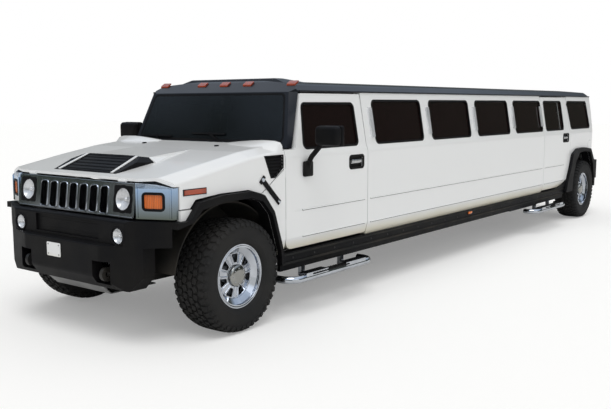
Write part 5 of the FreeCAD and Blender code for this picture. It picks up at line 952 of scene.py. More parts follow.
def brake_disc():
    """Two friction rings joined by vanes, on a hat that meets the hub."""
    bm = turned([(-0.012, 0.105), (-0.012, 0.172), (-0.005, 0.172), (-0.005, 0.105),
                 (-0.012, 0.105)], 64)
    gather(bm, turned([(0.003, 0.105), (0.003, 0.172), (0.010, 0.172), (0.010, 0.105),
                       (0.003, 0.105)], 64))
    gather(bm, turned([(-0.012, 0.0845), (-0.012, 0.110), (-0.006, 0.110), (0.024, 0.090),
                       (0.024, 0.0845), (-0.012, 0.0845)], 48))
    vane = block(0.003, 0.010, 0.060, 0.0)
    gather(bm, vane, *[turn(10.0 * n, "Y") @ shift(0.0, -0.001, 0.139) for n in range(36)])
    return bm


def caliper(degrees):
    """A two-piston caliper astride the disc, turned round the hub."""
    bm = block(0.070, 0.022, 0.120, 0.007)
    made = here(bm, shift(0.150, -0.030, 0.0), shift(0.150, 0.0215, 0.0))
    gather(made, block(0.026, 0.070, 0.110, 0.006), shift(0.188, -0.004, 0.0))
    gather(made, disc(0.020, 0.016, 20, 0.003), shift(0.150, -0.055, 0.028),
           shift(0.150, -0.055, -0.028))
    bmesh.ops.rotate(made, cent=(0, 0, 0), matrix=turn(degrees, "Y").to_3x3(), verts=made.verts)
    return made


for side, sign, flip in SIDES:
    for end, station in (("front", FRONT_AXLE), ("rear", REAR_AXLE)):
        wheel = f"{end}_{side}_wheel"
        place = shift(station, HALF_TRACK * sign, HUB_HEIGHT) @ flip
        piece(wheel + "_ribs", here(wheel_trim(), place), "chrome", wheel, sharp=50.0)
        piece(wheel + "_cap", here(wheel_cap(), place), "cap_chrome", wheel, 50.0)
        piece(wheel + "_studs", here(wheel_studs(), place), "bright_trim", wheel)
        piece(wheel + "_disc", here(brake_disc(), place), "bare_metal", wheel)
        carrier = f"front_{side}_knuckle" if end == "front" else "root"
        piece(wheel + "_caliper", here(caliper(CALIPER_ANGLE), place), "frame_black", carrier)

# %% [markdown]
# ## Front: grille, lamps and housings
#
# The grille plate and the lamp housings are finished bodies. New here are a raised rim round
# each slot, wires behind them, head lamps with a reflector, a bulb and a domed lens, ribs on the
# amber lamps, and bright rails beside them.

# %% Grille slots
GRILLE_FOOT, GRILLE_FACE, GRILLE_LEAN = 0.925, 4.577, 0.030 / 0.245
SLOT_PITCH, SLOT_WIDTH = 0.121, 0.078
LAMP_SIDE, LAMP_HEIGHT = 0.570, 1.053


def grille_x(height):
    """The leaning face of the grille at a height."""
    return GRILLE_FACE - GRILLE_LEAN * (height - GRILLE_FOOT)


def grille_rims():
    """A raised rim round each of the seven slots, and a bead along the plate's edges."""
    bm = bmesh.new()
    low, high = GRILLE_FOOT + 0.015, GRILLE_FOOT + 0.205
    half = SLOT_WIDTH / 2.0 + 0.004
    for number in range(7):
        y = SLOT_PITCH * (number - 3)
        loop = rounded([(y - half, low - 0.004), (y + half, low - 0.004),
                        (y + half, high + 0.004), (y - half, high + 0.004)], 0.021)
        path = [(grille_x(p.y), p.x, p.y) for p in loop]
        gather(bm, sweep(path, strip(0.008, 0.005), up=(1.0, 0.0, GRILLE_LEAN), closed=True))
    for height, half in ((GRILLE_FOOT + 0.005, 0.680), (GRILLE_FOOT + 0.238, 0.685)):
        path = [(grille_x(height), -half, height), (grille_x(height), half, height)]
        gather(bm, sweep(path, strip(0.008, 0.004), up=(1.0, 0.0, GRILLE_LEAN)))
    return bm


def grille_mesh():
    """Upright and level wires behind the slots."""
    bm = bmesh.new()
    back = 4.508
    low, high, wide = GRILLE_FOOT + 0.012, GRILLE_FOOT + 0.208, 0.408
    for n in range(52):
        y = -wide + 2.0 * wide * n / 51
        gather(bm, sweep([(back, y, low), (back, y, high)], ring(0.0014, 4)))
    for n in range(13):
        z = low + (high - low) * n / 12
        gather(bm, sweep([(back + 0.002, -wide, z), (back + 0.002, wide, z)], ring(0.0014, 4)))
    return bm


def lamp_fields():
    """The dark rounded field that each head lamp sits in."""
    bm = turned([(0.0, 0.080), (0.0, 0.100), (0.005, 0.100), (0.005, 0.080), (0.0, 0.080)], 48)
    corner = thicken(panel([(0.038, 0.096), (0.096, 0.038), (0.096, 0.086), (0.086, 0.096)]), 0.005)
    gather(bm, corner, *[turn(90.0 * n, "Y") for n in range(4)])
    places = [shift(grille_x(LAMP_HEIGHT) - 0.002, LAMP_SIDE * sign, LAMP_HEIGHT)
              @ turn(-7.0, "Y") @ AHEAD for sign in (1.0, -1.0)]
    return here(bm, *places)


piece("lamp_fields", lamp_fields(), "black_plastic", "root")
piece("grille_rims", grille_rims(), "chrome", "root", sharp=40.0)
piece("grille_wires", grille_mesh(), "black_plastic", "root")

# %% Lamps
def lamp_parts(radius, depth):
    """The bowl, the bulb and the lens of a round lamp that faces along +Y."""
    bowl = turned([(-depth, 0.0), (-depth, radius * 0.25), (-depth * 0.72, radius * 0.55),
                   (-depth * 0.30, radius * 0.86), (0.0, radius * 0.97), (0.0, radius),
                   (-depth * 0.34, radius * 0.93), (-depth - 0.004, radius * 0.3),
                   (-depth - 0.004, 0.0)], 40)
    bulb = turned([(-depth, 0.0), (-depth, radius * 0.20), (-depth * 0.45, radius * 0.20),
                   (-depth * 0.30, radius * 0.13), (-depth * 0.22, 0.0)], 20)
    lens = turned([(0.010, 0.0), (0.0085, radius * 0.40), (0.005, radius * 0.75),
                   (0.0005, radius * 0.965), (-0.002, radius * 0.965), (0.0015, radius * 0.75),
                   (0.005, radius * 0.40), (0.0065, 0.0)], 40)
    rim = sweep(arc((0.0, 0.0, 0.0), radius, 0.0, 352.5, 47), ring(radius * 0.055, 8),
                closed=True)
    return bowl, bulb, lens, rim


def round_lamps():
    """Head lamps in the grille and fog lamps in the bumper."""
    bowls, glow, lenses, rims = (bmesh.new() for _ in range(4))
    spots = [(grille_x(LAMP_HEIGHT) + 0.001, LAMP_SIDE, LAMP_HEIGHT, 0.081, 0.046, 7.0),
             (4.6300, 0.586, 0.800, 0.056, 0.034, 0.0)]
    for x, side, z, radius, depth, lean in spots:
        places = [shift(x, side * sign, z) @ turn(-lean, "Y") @ AHEAD for sign in (1.0, -1.0)]
        for target, shape in zip((bowls, glow, lenses, rims), lamp_parts(radius, depth)):
            gather(target, shape, *places)
    return bowls, glow, lenses, rims


lamp_bowls, lamp_bulbs, lamp_lenses, lamp_rims = round_lamps()
bowls = piece("lamp_bowls", lamp_bowls, "lamp_silver", "root")
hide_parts("front_lamps")
piece("lamp_bulbs", lamp_bulbs, "lamp_silver", "root")
piece("lamp_lenses", lamp_lenses, "lamp_glass", "root", sharp=60.0)
piece("lamp_rims", lamp_rims, "black_plastic", "root")

# %% Corner housings
BEZEL_IN, BEZEL_OUT = Vector((4.562, 0.704)), Vector((4.451, 0.965))
BEZEL_RUN = (BEZEL_OUT - BEZEL_IN).normalized()
BEZEL_OUTWARD = Vector((-BEZEL_RUN.y, BEZEL_RUN.x)) * -1.0
BEZEL_UP = (BEZEL_OUTWARD.x, BEZEL_OUTWARD.y, 0.0)
TURN_LOW, TURN_HIGH = 0.994, 1.099


def on_bezel(along, height, proud=0.0):
    """A point on the left housing's raked face."""
    flat = BEZEL_IN + BEZEL_RUN * along + BEZEL_OUTWARD * proud
    return Vector((flat.x, flat.y, height))


def bezel_trim():
    """Upright bright beads at both ends of the housing."""
    bm = bmesh.new()
    for along in (0.010, 0.262):
        path = [on_bezel(along, 0.932), on_bezel(along, 1.138)]
        gather(bm, sweep(path, strip(0.014, 0.006), up=BEZEL_UP))
    return both_sides(bm)


def lamp_frames():
    """A dark rounded frame round each amber lamp."""
    bm = bmesh.new()
    corners = rounded([(0.056, TURN_LOW - 0.005), (0.211, TURN_LOW - 0.005),
                       (0.211, TURN_HIGH + 0.005), (0.056, TURN_HIGH + 0.005)], 0.022)
    loop = [on_bezel(p.x, p.y) for p in corners]
    gather(bm, sweep(loop, strip(0.018, 0.005), up=BEZEL_UP, closed=True))
    return both_sides(bm)


def turn_ribs():
    """The fine upright ribs on the amber lenses."""
    bm = bmesh.new()
    for n in range(14):
        along = 0.066 + 0.1350 * n / 13
        path = [on_bezel(along, TURN_LOW + 0.006, -0.0060),
                on_bezel(along, TURN_HIGH - 0.006, -0.0060)]
        gather(bm, sweep(path, strip(0.0060, 0.0022), up=BEZEL_UP))
    return both_sides(bm)


def bezel_caps():
    """The bright upper lip that meets the hood's corner."""
    flat = panel([(0.0, 1.138), (0.284, 1.138), (0.284, 1.144), (0.160, 1.166), (0.0, 1.174)])
    cap = thicken(flat, 0.026)
    face = Matrix(((BEZEL_RUN.x, -BEZEL_OUTWARD.x, 0.0, BEZEL_IN.x),
                   (BEZEL_RUN.y, -BEZEL_OUTWARD.y, 0.0, BEZEL_IN.y),
                   (0.0, 0.0, 1.0, 0.0), (0.0, 0.0, 0.0, 1.0)))
    return both_sides(here(cap, face))


piece("bezel_caps", bezel_caps(), "bezel_chrome_painted_reflection", "root")
piece("bezel_rails", bezel_trim(), "bezel_chrome_painted_reflection", "root", sharp=40.0)
piece("turn_lamp_frames", lamp_frames(), "black_plastic", "root", sharp=45.0)
piece("turn_lamp_ribs", turn_ribs(), "amber_lens", "root", sharp=50.0)

# %% [markdown]
# ## Hood, scoop, vents and latches
#
# These pieces ride on the hood. The scoop gets white rails, slats in its slots and a raised lip
# round them. The side vents get six louvres, and a rubber strap with a bright button holds the
# hood's lower edge on each side.

# %% Hood surface
HOOD_PLAN = ((4.530, 1.200), (4.035, 1.292), (3.685, 1.352), (3.285, 1.395))
BODY_HALF = 0.985


def hood_top(x, y):
    """The height of the painted hood at a point."""
    for (ahead, low), (behind, high) in zip(HOOD_PLAN, HOOD_PLAN[1:]):
        if x >= behind or (behind, high) == HOOD_PLAN[-1]:
            level = low + (high - low) * (ahead - x) / (ahead - behind)
            break
    return level - 0.045 * max(0.0, (abs(y) - 0.865) / 0.120)


def scoop_top(x):
    """The sloping face of the scoop."""
    return 1.2133 + (1.3235 - 1.2133) * (4.460 - x) / 0.270

# %% Scoop
def scoop_rails():
    """The painted rails along both sides of the wedge."""
    bm = bmesh.new()
    for sign in (1.0, -1.0):
        path = [(4.452, 0.318 * sign, scoop_top(4.452)), (4.196, 0.296 * sign, scoop_top(4.196))]
        gather(bm, sweep(path, strip(0.024, 0.007), up=(0.38, 0.0, 0.92)))
    return bm


def scoop_slats():
    """Thin slats that stand in the slots, leaning forward."""
    bm = bmesh.new()
    for share in (0.10, 0.27, 0.44, 0.61, 0.78):
        x = 4.460 - 0.270 * share - 0.010
        gather(bm, block(0.003, 0.516, 0.017, 0.001, 1),
               shift(x, 0.0, scoop_top(x) - 0.004) @ turn(-28.0, "Y"))
        for sign in (1.0, -1.0):
            gather(bm, block(0.020, 0.004, 0.014, 0.001, 1),
                   shift(x, 0.130 * sign, scoop_top(x) - 0.008))
    return bm


def scoop_lip():
    """A raised edge round the field of slots."""
    bm = bmesh.new()
    loop = [(4.440, -0.282), (4.440, 0.282), (4.205, 0.272), (4.205, -0.272)]
    path = [(x, y, scoop_top(x)) for x, y in loop]
    gather(bm, sweep(path, strip(0.010, 0.004), up=(0.38, 0.0, 0.92), closed=True))
    gather(bm, block(0.016, 0.560, 0.008, 0.003), shift(4.188, 0.0, 1.3235))
    return bm


piece("scoop_rails", scoop_rails(), "white_paint", "hood_lid")
piece("scoop_slats", scoop_slats(), "black_plastic", "hood_lid")
piece("scoop_lip", scoop_lip(), "black_plastic", "hood_lid")

# %% Vents
VENT = ((3.517, 1.312), (3.295, 1.312), (3.295, 1.214), (3.393, 1.143), (3.441, 1.143))


def vent_span(z):
    """The rear and front edges of the vent at a height."""
    rear = 3.295 if z >= 1.214 else 3.393 - 0.098 * (z - 1.143) / 0.071
    return rear, 3.441 + 0.076 * (z - 1.143) / 0.169


def vents():
    """A dark back plate, a raised rim and six louvres on each side."""
    bm = bmesh.new()
    floor = BODY_HALF - 0.014
    back = thicken(panel([(x, z) for x, z in VENT]), 0.003)
    gather(bm, back, shift(y=floor - 0.0015))
    loop = [Vector((x, BODY_HALF - 0.0005, z)) for x, z in VENT]
    gather(bm, sweep(loop, strip(0.010, 0.005), up=(0.0, 1.0, 0.0), closed=True))
    for n in range(6):
        z = 1.163 + 0.026 * n
        rear, fore = vent_span(z)
        gather(bm, block(fore - rear - 0.006, 0.003, 0.021, 0.0012, 1),
               shift((rear + fore) / 2.0, BODY_HALF - 0.006, z) @ turn(35.0, "X"))
    return both_sides(bm)


piece("hood_vents", vents(), "black_plastic", "hood_lid", sharp=40.0)

# %% Straps, side markers and nozzles
def latch_straps():
    """The T-shaped rubber straps at the hood's lower rear corners."""
    bm = bmesh.new()
    y = BODY_HALF + 0.0015
    top, foot = Vector((3.549, y, 1.134)), Vector((3.352, y, 0.944))
    gather(bm, sweep([top, foot], strip(0.040, 0.012), up=(0.0, 1.0, 0.0)))
    across = Vector(((foot - top).z, 0.0, -(foot - top).x)).normalized() * 0.034
    gather(bm, sweep([top - across, top + across], strip(0.028, 0.011), up=(0.0, 1.0, 0.0)))
    gather(bm, sweep([foot - across * 0.6, foot + across * 0.6], strip(0.022, 0.011),
                     up=(0.0, 1.0, 0.0)))
    for share in (0.25, 0.42, 0.59, 0.76):
        spot = top.lerp(foot, share)
        gather(bm, sweep([spot - across * 0.34, spot + across * 0.34], ring(0.0026, 6)),
               shift(y=0.012))
    return both_sides(bm)


def latch_metal():
    """The bright button and clasp on each strap."""
    bm = bmesh.new()
    button = disc(0.0160, 0.010, 20, 0.004)
    gather(bm, button, shift(3.549, BODY_HALF + 0.0115, 1.134))
    gather(bm, block(0.034, 0.006, 0.020, 0.002), shift(3.358, BODY_HALF + 0.0150, 0.950)
           @ turn(-43.0, "Y"))
    return both_sides(bm)


def nozzles():
    """Two low washer nozzles near the hood's rear edge."""
    bm = bmesh.new()
    for sign in (1.0, -1.0):
        x, y = 3.480, 0.440 * sign
        gather(bm, block(0.034, 0.026, 0.012, 0.004), shift(x, y, hood_top(x, y) + 0.004))
    return bm


def side_markers():
    """The long marker lamp on each side of the hood, in a dark frame."""
    frames, lenses = bmesh.new(), bmesh.new()
    rear, fore = Vector((4.150, 0.9805, 1.105)), Vector((4.367, 0.9717, 1.105))
    out = (0.04, 1.0, 0.0)
    gather(frames, sweep([rear, fore], strip(0.046, 0.005), up=out))
    step = (fore - rear) * 0.03
    gather(lenses, sweep([rear + step, fore - step], strip(0.034, 0.009), up=out))
    return both_sides(frames), both_sides(lenses)


marker_frames, marker_lenses = side_markers()
piece("side_marker_frames", marker_frames, "black_plastic", "hood_lid")
piece("side_marker_lenses", marker_lenses, "marker_lens", "hood_lid")
piece("hood_straps", latch_straps(), "black_plastic", "hood_lid")
piece("hood_toggles", latch_metal(), "chrome", "hood_lid")
piece("washer_nozzles", nozzles(), "black_plastic", "hood_lid")

# %% [markdown]
# ## Window rubbers
#
# Each pane sits in a black rubber seal that shows as a thin dark line round the glass. The pane
# outlines are known from the frame, so one section is swept round each of them. Above the belt
# the body side leans inwards, and the seals follow that lean.

# %% Window rubbers
BELT_HEIGHT, LEAN_HEIGHT, LEAN_HALF, SIDE_LEAN = 1.290, 1.350, 0.965, 0.17204
PANE_HEAD = 1.745
SIDE_FACE, SCREEN_FACE = (0.0, 0.9855, 0.1695), (0.944, 0.0, 0.329)
SCREEN_LEAN = 0.3484
GATE_X = -4.371
OUTWARD, FORWARD, BACKWARD = (0.0, 1.0, 0.0), (1.0, 0.0, 0.0), (-1.0, 0.0, 0.0)
FIXED_PANES = ((0.986, 1.887), (-0.105, 0.796), (-1.196, -0.295), (-2.287, -1.386))
DOOR_PANES = (("front", (2.191, 2.998, 2.197, 2.955, LEAN_HEIGHT, 1.720)),
              ("rear", (-3.085, -2.415, -3.085, -2.415)))


def side_y(z):
    """The left body side at a height."""
    if z <= BELT_HEIGHT:
        return BODY_HALF
    if z <= LEAN_HEIGHT:
        share = (z - BELT_HEIGHT) / (LEAN_HEIGHT - BELT_HEIGHT)
        return BODY_HALF + (LEAN_HALF - BODY_HALF) * share
    return LEAN_HALF - SIDE_LEAN * (z - LEAN_HEIGHT)


def pane_seal(low_rear, low_fore, high_rear, high_fore, low=LEAN_HEIGHT, high=PANE_HEAD):
    """A rubber seal round a side pane."""
    loop = rounded([(low_rear, low), (low_fore, low), (high_fore, high), (high_rear, high)], 0.044)
    path = [(p.x, side_y(p.y), p.y) for p in loop]
    return sweep(path, strip(0.019, 0.0035, 0.009), up=SIDE_FACE, closed=True)


def fixed_seals():
    """The seals of the panes that are set in the body."""
    bm = bmesh.new()
    for rear, fore in FIXED_PANES:
        gather(bm, pane_seal(rear, fore, rear, fore))
    gather(bm, pane_seal(-4.214, -3.394, -4.166, -3.322))
    return both_sides(bm)


def pane_divider():
    """The upright strip across the rear door's pane."""
    ends = [(-2.962, side_y(z) - 0.009, z) for z in (1.362, 1.735)]
    return sweep(ends, strip(0.014, 0.006), up=SIDE_FACE)


def screen_x(z):
    """The windscreen's leaning plane."""
    return 3.175 - SCREEN_LEAN * (z - 1.358)


def screen_seal():
    """The rubber round the windscreen."""
    loop = rounded([(-0.874, 1.402), (0.874, 1.402), (0.784, 1.795), (-0.784, 1.795)], 0.042)
    path = [(screen_x(p.y) - 0.006, p.x, p.y) for p in loop]
    return sweep(path, strip(0.022, 0.006, 0.006), up=SCREEN_FACE, closed=True)


def gate_loop(half, low, high, radius, section):
    """A rounded loop on the tailgate's outer face."""
    loop = rounded([(-half, low), (half, low), (half, high), (-half, high)], radius)
    return sweep([(GATE_X, p.x, p.y) for p in loop], section, up=BACKWARD, closed=True)


piece("side_window_seals", fixed_seals(), "black_plastic", "root")
for side, sign, flip in SIDES:
    for end, pane in DOOR_PANES:
        piece(f"{end}_{side}_door_seal", here(pane_seal(*pane), flip), "black_plastic",
              f"{end}_{side}_door")
    piece(f"rear_{side}_door_divider", here(pane_divider(), flip), "bright_trim",
          f"rear_{side}_door")
piece("windscreen_seal", here(screen_seal()), "black_plastic", "root")
piece("tailgate_seal", here(gate_loop(0.642, 1.320, 1.683, 0.044, strip(0.020, 0.004, 0.006))),
      "black_plastic", "tailgate_lid")

# %% Inside mirror
def inside_mirror():
    """The mirror's head and its bent stalk."""
    bm = bmesh.new()
    gather(bm, block(0.030, 0.250, 0.070, 0.012), shift(2.945, 0.0, 1.675) @ turn(-8.0, "Y"))
    gather(bm, sweep([(2.955, 0.0, 1.690), (3.000, 0.0, 1.740), (3.020, 0.0, 1.770)],
                     ring(0.008, 8)))
    return bm


piece("inside_mirror", inside_mirror(), "cabin_plastic", "root")

# %% [markdown]
# ## Door handles, creases and bright strips
#
# The handles sit in black trays. The body's two long creases show as a line of shade, so a
# thin raised lip in body colour runs along them on each panel, and a thin dark strip just below
# each lip is painted shade. Every bright strip between the windows has three upright flutes.

# %% Handles, creases and strips
HANDLES = (("front", 2.135, 2.355, 1.145, 1.255), ("rear", -3.245, -3.025, 1.175, 1.285))


def handle_tray(rear, fore, low, high):
    """A dark liner in the tray and a rounded rim round its mouth."""
    bm = bmesh.new()
    middle = ((rear + fore) / 2.0, (low + high) / 2.0)
    gather(bm, block(fore - rear - 0.004, 0.003, high - low - 0.004, 0.0),
           shift(middle[0], BODY_HALF - 0.0195, middle[1]))
    loop = rounded([(rear, low), (fore, low), (fore, high), (rear, high)], 0.024)
    gather(bm, sweep([(p.x, BODY_HALF, p.y) for p in loop], strip(0.020, 0.004, 0.006),
                     up=OUTWARD, closed=True))
    return bm


def handle_paddle(rear, fore, low, high):
    """The bright pull, bowed a little, with the lock beside it."""
    middle, height = (rear + fore) / 2.0, (low + high) / 2.0 + 0.006
    bm = bmesh.new()
    gather(bm, block(0.150, 0.014, 0.030, 0.005, 3), shift(middle, BODY_HALF - 0.003, height))
    gather(bm, disc(0.010, 0.006, 16, 0.0015), shift(fore - 0.020, BODY_HALF - 0.0185, height))
    return bm


CREASES = (("front_{}_door", 2.105, 3.040), ("root", -2.262, 2.015),
           ("rear_{}_door", -3.090, -2.350))
TUCK_HEIGHT, CREASE_HEIGHT = 0.631, 0.851


def crease_lines(rear, fore, drop, section):
    """A thin line along one panel at the crease, and one at the tuck."""
    bm = bmesh.new()
    for height in (CREASE_HEIGHT, TUCK_HEIGHT):
        path = [(x, BODY_HALF - 0.001, height - drop) for x in (rear, fore)]
        gather(bm, sweep(path, section, up=OUTWARD))
    return bm


LIP = (0.0, strip(0.011, 0.0065, 0.003))
# A thin dark strip just below each lip: a painted shade line, standing in for the shade under the
# crease and the tuck.
CREASE_SHADE_LINE = (0.0075, strip(0.0045, 0.0025, 0.002))
for side, sign, flip in SIDES:
    for end, rear, fore, low, high in HANDLES:
        door = f"{end}_{side}_door"
        piece(door + "_tray", here(handle_tray(rear, fore, low, high), flip), "black_plastic", door)
        piece(door + "_pull", here(handle_paddle(rear, fore, low, high), flip), "bright_trim", door)
    for body, rear, fore in CREASES:
        body = body.format(side)
        name = body if body != "root" else f"stretch_{side}"
        piece(name + "_creases", here(crease_lines(rear, fore, *LIP), flip), "white_paint", body)
        # The dark strips below the lips are painted shade.
        piece(name + "_painted_shade_lines", here(crease_lines(rear, fore, *CREASE_SHADE_LINE), flip), "cabin_plastic", body)



def window_flutes():
    """Three upright flutes on each bright strip."""
    bm = bmesh.new()
    for fore in (1.967, 0.876, -0.215, -1.306, -2.237):
        for step in (0.012, 0.030, 0.048):
            path = [(fore - step, side_y(z) + 0.0135, z) for z in (1.412, 1.678)]
            gather(bm, sweep(path, ring(0.0055, 8)))
    return both_sides(bm)


piece("opera_flutes", window_flutes(), "lamp_silver", "root")

# %% [markdown]
# ## Door mirrors
#
# A mirror has a rounded head in two shells, a glass that looks back, and a bent arm from a
# rounded foot on the door. The frame's plain solid holds the same room, so this piece takes
# its place.

# %% Door mirrors
def mirror_body():
    """The head's two shells, the bent arm and the foot of the left mirror."""
    bm = block(0.078, 0.232, 0.158, 0.034, 5)
    made = here(bm, shift(2.998, 1.211, 1.460))
    gather(made, block(0.040, 0.240, 0.166, 0.016, 3), shift(2.950, 1.210, 1.458))
    arm = [(2.985, 0.998, 1.190), (2.985, 1.012, 1.245), (2.985, 1.040, 1.290),
           (2.985, 1.080, 1.330), (2.985, 1.120, 1.372), (2.985, 1.135, 1.410)]
    tube = sweep(arm, ring(0.0215, 12))
    gather(made, tube)
    gather(made, disc(0.027, 0.030, 20, 0.006), shift(2.985, 1.000, 1.235))
    gather(made, block(0.118, 0.032, 0.128, 0.015, 4), shift(2.985, 1.0005, 1.185))
    return made


def mirror_glass():
    """The pane in the head's rear face."""
    return here(block(0.004, 0.204, 0.130, 0.0018, 1), shift(2.9295, 1.210, 1.458))


for side, sign, flip in SIDES:
    head = piece(f"{side}_mirror_head", here(mirror_body(), flip), "black_plastic",
                 f"front_{side}_door", sharp=50.0)
    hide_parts(f"mirror_{side}")
    piece(f"{side}_mirror_glass", here(mirror_glass(), flip), "lamp_silver",
          f"front_{side}_door")

# %% [markdown]
# ## Sills, steps and lower side
#
# A ledge with dust on it runs along the black sill with a row of bolt heads. The tubular steps
# carry ribbed tread pads. Behind the rear door's lower corner, black cladding joins sill and flare.

# %% Sills and steps
SILL_REAR, SILL_FORE, SILL_FACE = -3.090, 3.310, 0.984
SILL_BOLTS, TREAD_BARS = 22, 14
STEPS = ((2.560, 3.080), (-2.590, -2.070))


def sill_ledges():
    """The ledge along the sill, with dust on it, and the line below it."""
    bm = bmesh.new()
    for out, z, section in ((SILL_FACE, 0.500, strip(0.014, 0.010, 0.004)),
                            (SILL_FACE + 0.0005, 0.430, strip(0.020, 0.006, 0.004))):
        gather(bm, sweep([(SILL_REAR, out, z), (SILL_FORE, out, z)], section, up=OUTWARD))
    return both_sides(bm)


def sill_bolts():
    """A row of bolt heads along the sill."""
    head = turned([(0.0, 0.0), (0.0, 0.010), (0.005, 0.009), (0.007, 0.0)], 6)
    places = [shift(-2.98 + 0.293 * n, SILL_FACE, 0.468) for n in range(SILL_BOLTS)]
    return both_sides(here(head, *places))


def step_treads():
    """A ribbed pad on each step."""
    bm = bmesh.new()
    for rear, fore in STEPS:
        bars = [shift(rear + (fore - rear) * (n + 0.5) / TREAD_BARS, 1.100, 0.342)
                for n in range(TREAD_BARS)]
        gather(bm, block(0.014, 0.062, 0.006, 0.002, 1), *bars)
        gather(bm, block(fore - rear, 0.070, 0.010, 0.004),
               shift((rear + fore) / 2.0, 1.100, 0.336))
    return both_sides(bm)


def sill_lamps():
    """The small amber lamp at the middle of each sill."""
    return both_sides(here(block(0.090, 0.016, 0.026, 0.005), shift(-0.065, 0.992, 0.484)))


piece("sill_ledges", sill_ledges(), "underbody", "root", sharp=50.0)
piece("sill_bolts", sill_bolts(), "frame_black", "root")
piece("step_treads", step_treads(), "black_plastic", "root")
piece("sill_marker_lamps", sill_lamps(), "amber_lens", "root")


def door_guard():
    """Black cladding on the rear door's lower corner, with a curved upper edge."""
    flat = panel([(-3.307, 0.690), (-3.307, 0.519), (-2.780, 0.519), (-2.880, 0.532),
                  (-3.000, 0.556), (-3.110, 0.590), (-3.215, 0.638)])
    return here(thicken(flat, 0.040), shift(y=0.952))


for side, sign, flip in SIDES:
    piece(f"rear_{side}_door_guard", here(door_guard(), flip), "black_plastic",
          f"rear_{side}_door")

FUEL_X, FUEL_Z, FUEL_RADIUS = -4.172, 1.080, 0.078


def fuel_seam():
    """The dark line round the fuel door."""
    centre = (FUEL_X, BODY_HALF - 0.001, FUEL_Z)
    return here(sweep(arc(centre, FUEL_RADIUS + 0.0025, 0.0, 352.5, 47), ring(0.0016, 4),
                      closed=True))


fuel_door = here(disc(FUEL_RADIUS, 0.005, 40, 0.002), shift(FUEL_X, BODY_HALF - 0.002, FUEL_Z))
piece("fuel_door", fuel_door, "white_paint", "root")
piece("fuel_door_seam", fuel_seam(), "black_plastic", "root")

# %% [markdown]
# ## Cowl shoulders
#
# The hood's rear edge swells up on both sides and wraps the foot of the windscreen. Each
# shoulder is a row of wedge sections joined with a bridge. A dark strip fills the gap behind.

# %% Cowl shoulders
SHOULDER_ROWS = ((0.420, 1.397, 3.340), (0.520, 1.408, 3.400), (0.660, 1.420, 3.440),
                 (0.780, 1.426, 3.455), (0.900, 1.424, 3.440), (0.960, 1.412, 3.400),
                 (0.981, 1.385, 3.350))


def shoulder():
    """The raised left end of the hood's rear edge."""
    bm = bmesh.new()
    rings = []
    for y, high, nose in SHOULDER_ROWS:
        foot = hood_top(3.300, y) - 0.012
        ahead = hood_top(nose, y) - 0.004
        rings.append([bm.verts.new(p) for p in ((3.289, y, foot), (nose, y, ahead),
                                                (3.330, y, high), (3.296, y, high))])
        loop = rings[-1]
        for n in range(4):
            bm.edges.new((loop[n], loop[(n + 1) % 4]))
    for one, two in zip(rings, rings[1:]):
        edges = [e for e in bm.edges if all(v in one for v in e.verts)]
        edges += [e for e in bm.edges if all(v in two for v in e.verts)]
        bmesh.ops.bridge_loops(bm, edges=edges)
    bm.faces.new(rings[0])
    bm.faces.new(rings[-1])
    bmesh.ops.recalc_face_normals(bm, faces=bm.faces)
    return bm


piece("cowl_shoulders", both_sides(shoulder()), "white_paint", "hood_lid", sharp=38.0)

cowl_gap = here(block(0.012, 1.960, 0.006, 0.002), shift(3.281, 0.0, 1.352))
piece("cowl_gap", cowl_gap, "black_plastic", "root")

# %% [markdown]
# ## Bumpers
#
# The front bumper carries a flat panel in its upper recess, collars round its lamps and a blank
# plate on four screws. The rear one has a ribbed step. The tailgate gets its pull, its wiper
# and a blank plate.

# %% Front bumper
def on_end(x):
    """Lay a shape from the side view across the car at a station."""
    return Matrix(((0, 1, 0, x), (1, 0, 0, 0), (0, 0, 1, 0), (0, 0, 0, 1)))


def blank_plate(left, right, low, high, x):
    """A bare plate with rounded corners."""
    flat = panel([(left, low), (right, low), (right, high), (left, high)], 0.010, 4)
    return here(thicken(flat, 0.003), on_end(x))


def bumper_trim():
    """The panel with its ribs, and the lamp collars."""
    bm = bmesh.new()
    gather(bm, block(0.006, 0.860, 0.092, 0.002), shift(4.612, 0.0, 0.825))
    for z in (0.792, 0.858):
        gather(bm, sweep([(4.614, -0.428, z), (4.614, 0.428, z)], strip(0.006, 0.004),
                         up=FORWARD))
    for sign in (1.0, -1.0):
        collar = sweep(arc((0.0, 0.0, 0.0), 0.066, 0.0, 352.5, 47), ring(0.009, 8), closed=True)
        gather(bm, collar, shift(4.634, 0.586 * sign, 0.800) @ AHEAD)
    return bm


piece("bumper_trim", bumper_trim(), "black_plastic", "root", sharp=40.0)
piece("blank_plate", blank_plate(-0.158, 0.008, 0.592, 0.696, 4.6965), "white_paint", "root")
screws = [shift(4.6990, y, z) @ AHEAD for z in (0.680, 0.608) for y in (-0.140, -0.010)]
piece("bumper_screws", here(disc(0.006, 0.003, 12, 0.001), *screws), "bare_metal", "root")

# %% Rear bumper and tailgate
BACK = turn(90.0, "Z")


def step_ribs():
    """Ribs on the rear step: a close field in the middle and wide rows at the ends."""
    places = [shift(-4.555, -0.406 + 0.028 * n, 0.8370) for n in range(30)]
    places += [shift(-4.540, sign * (0.560 + 0.048 * n), 0.8370)
               for sign in (1.0, -1.0) for n in range(8)]
    return here(block(0.250, 0.010, 0.005, 0.0015, 1), *places)


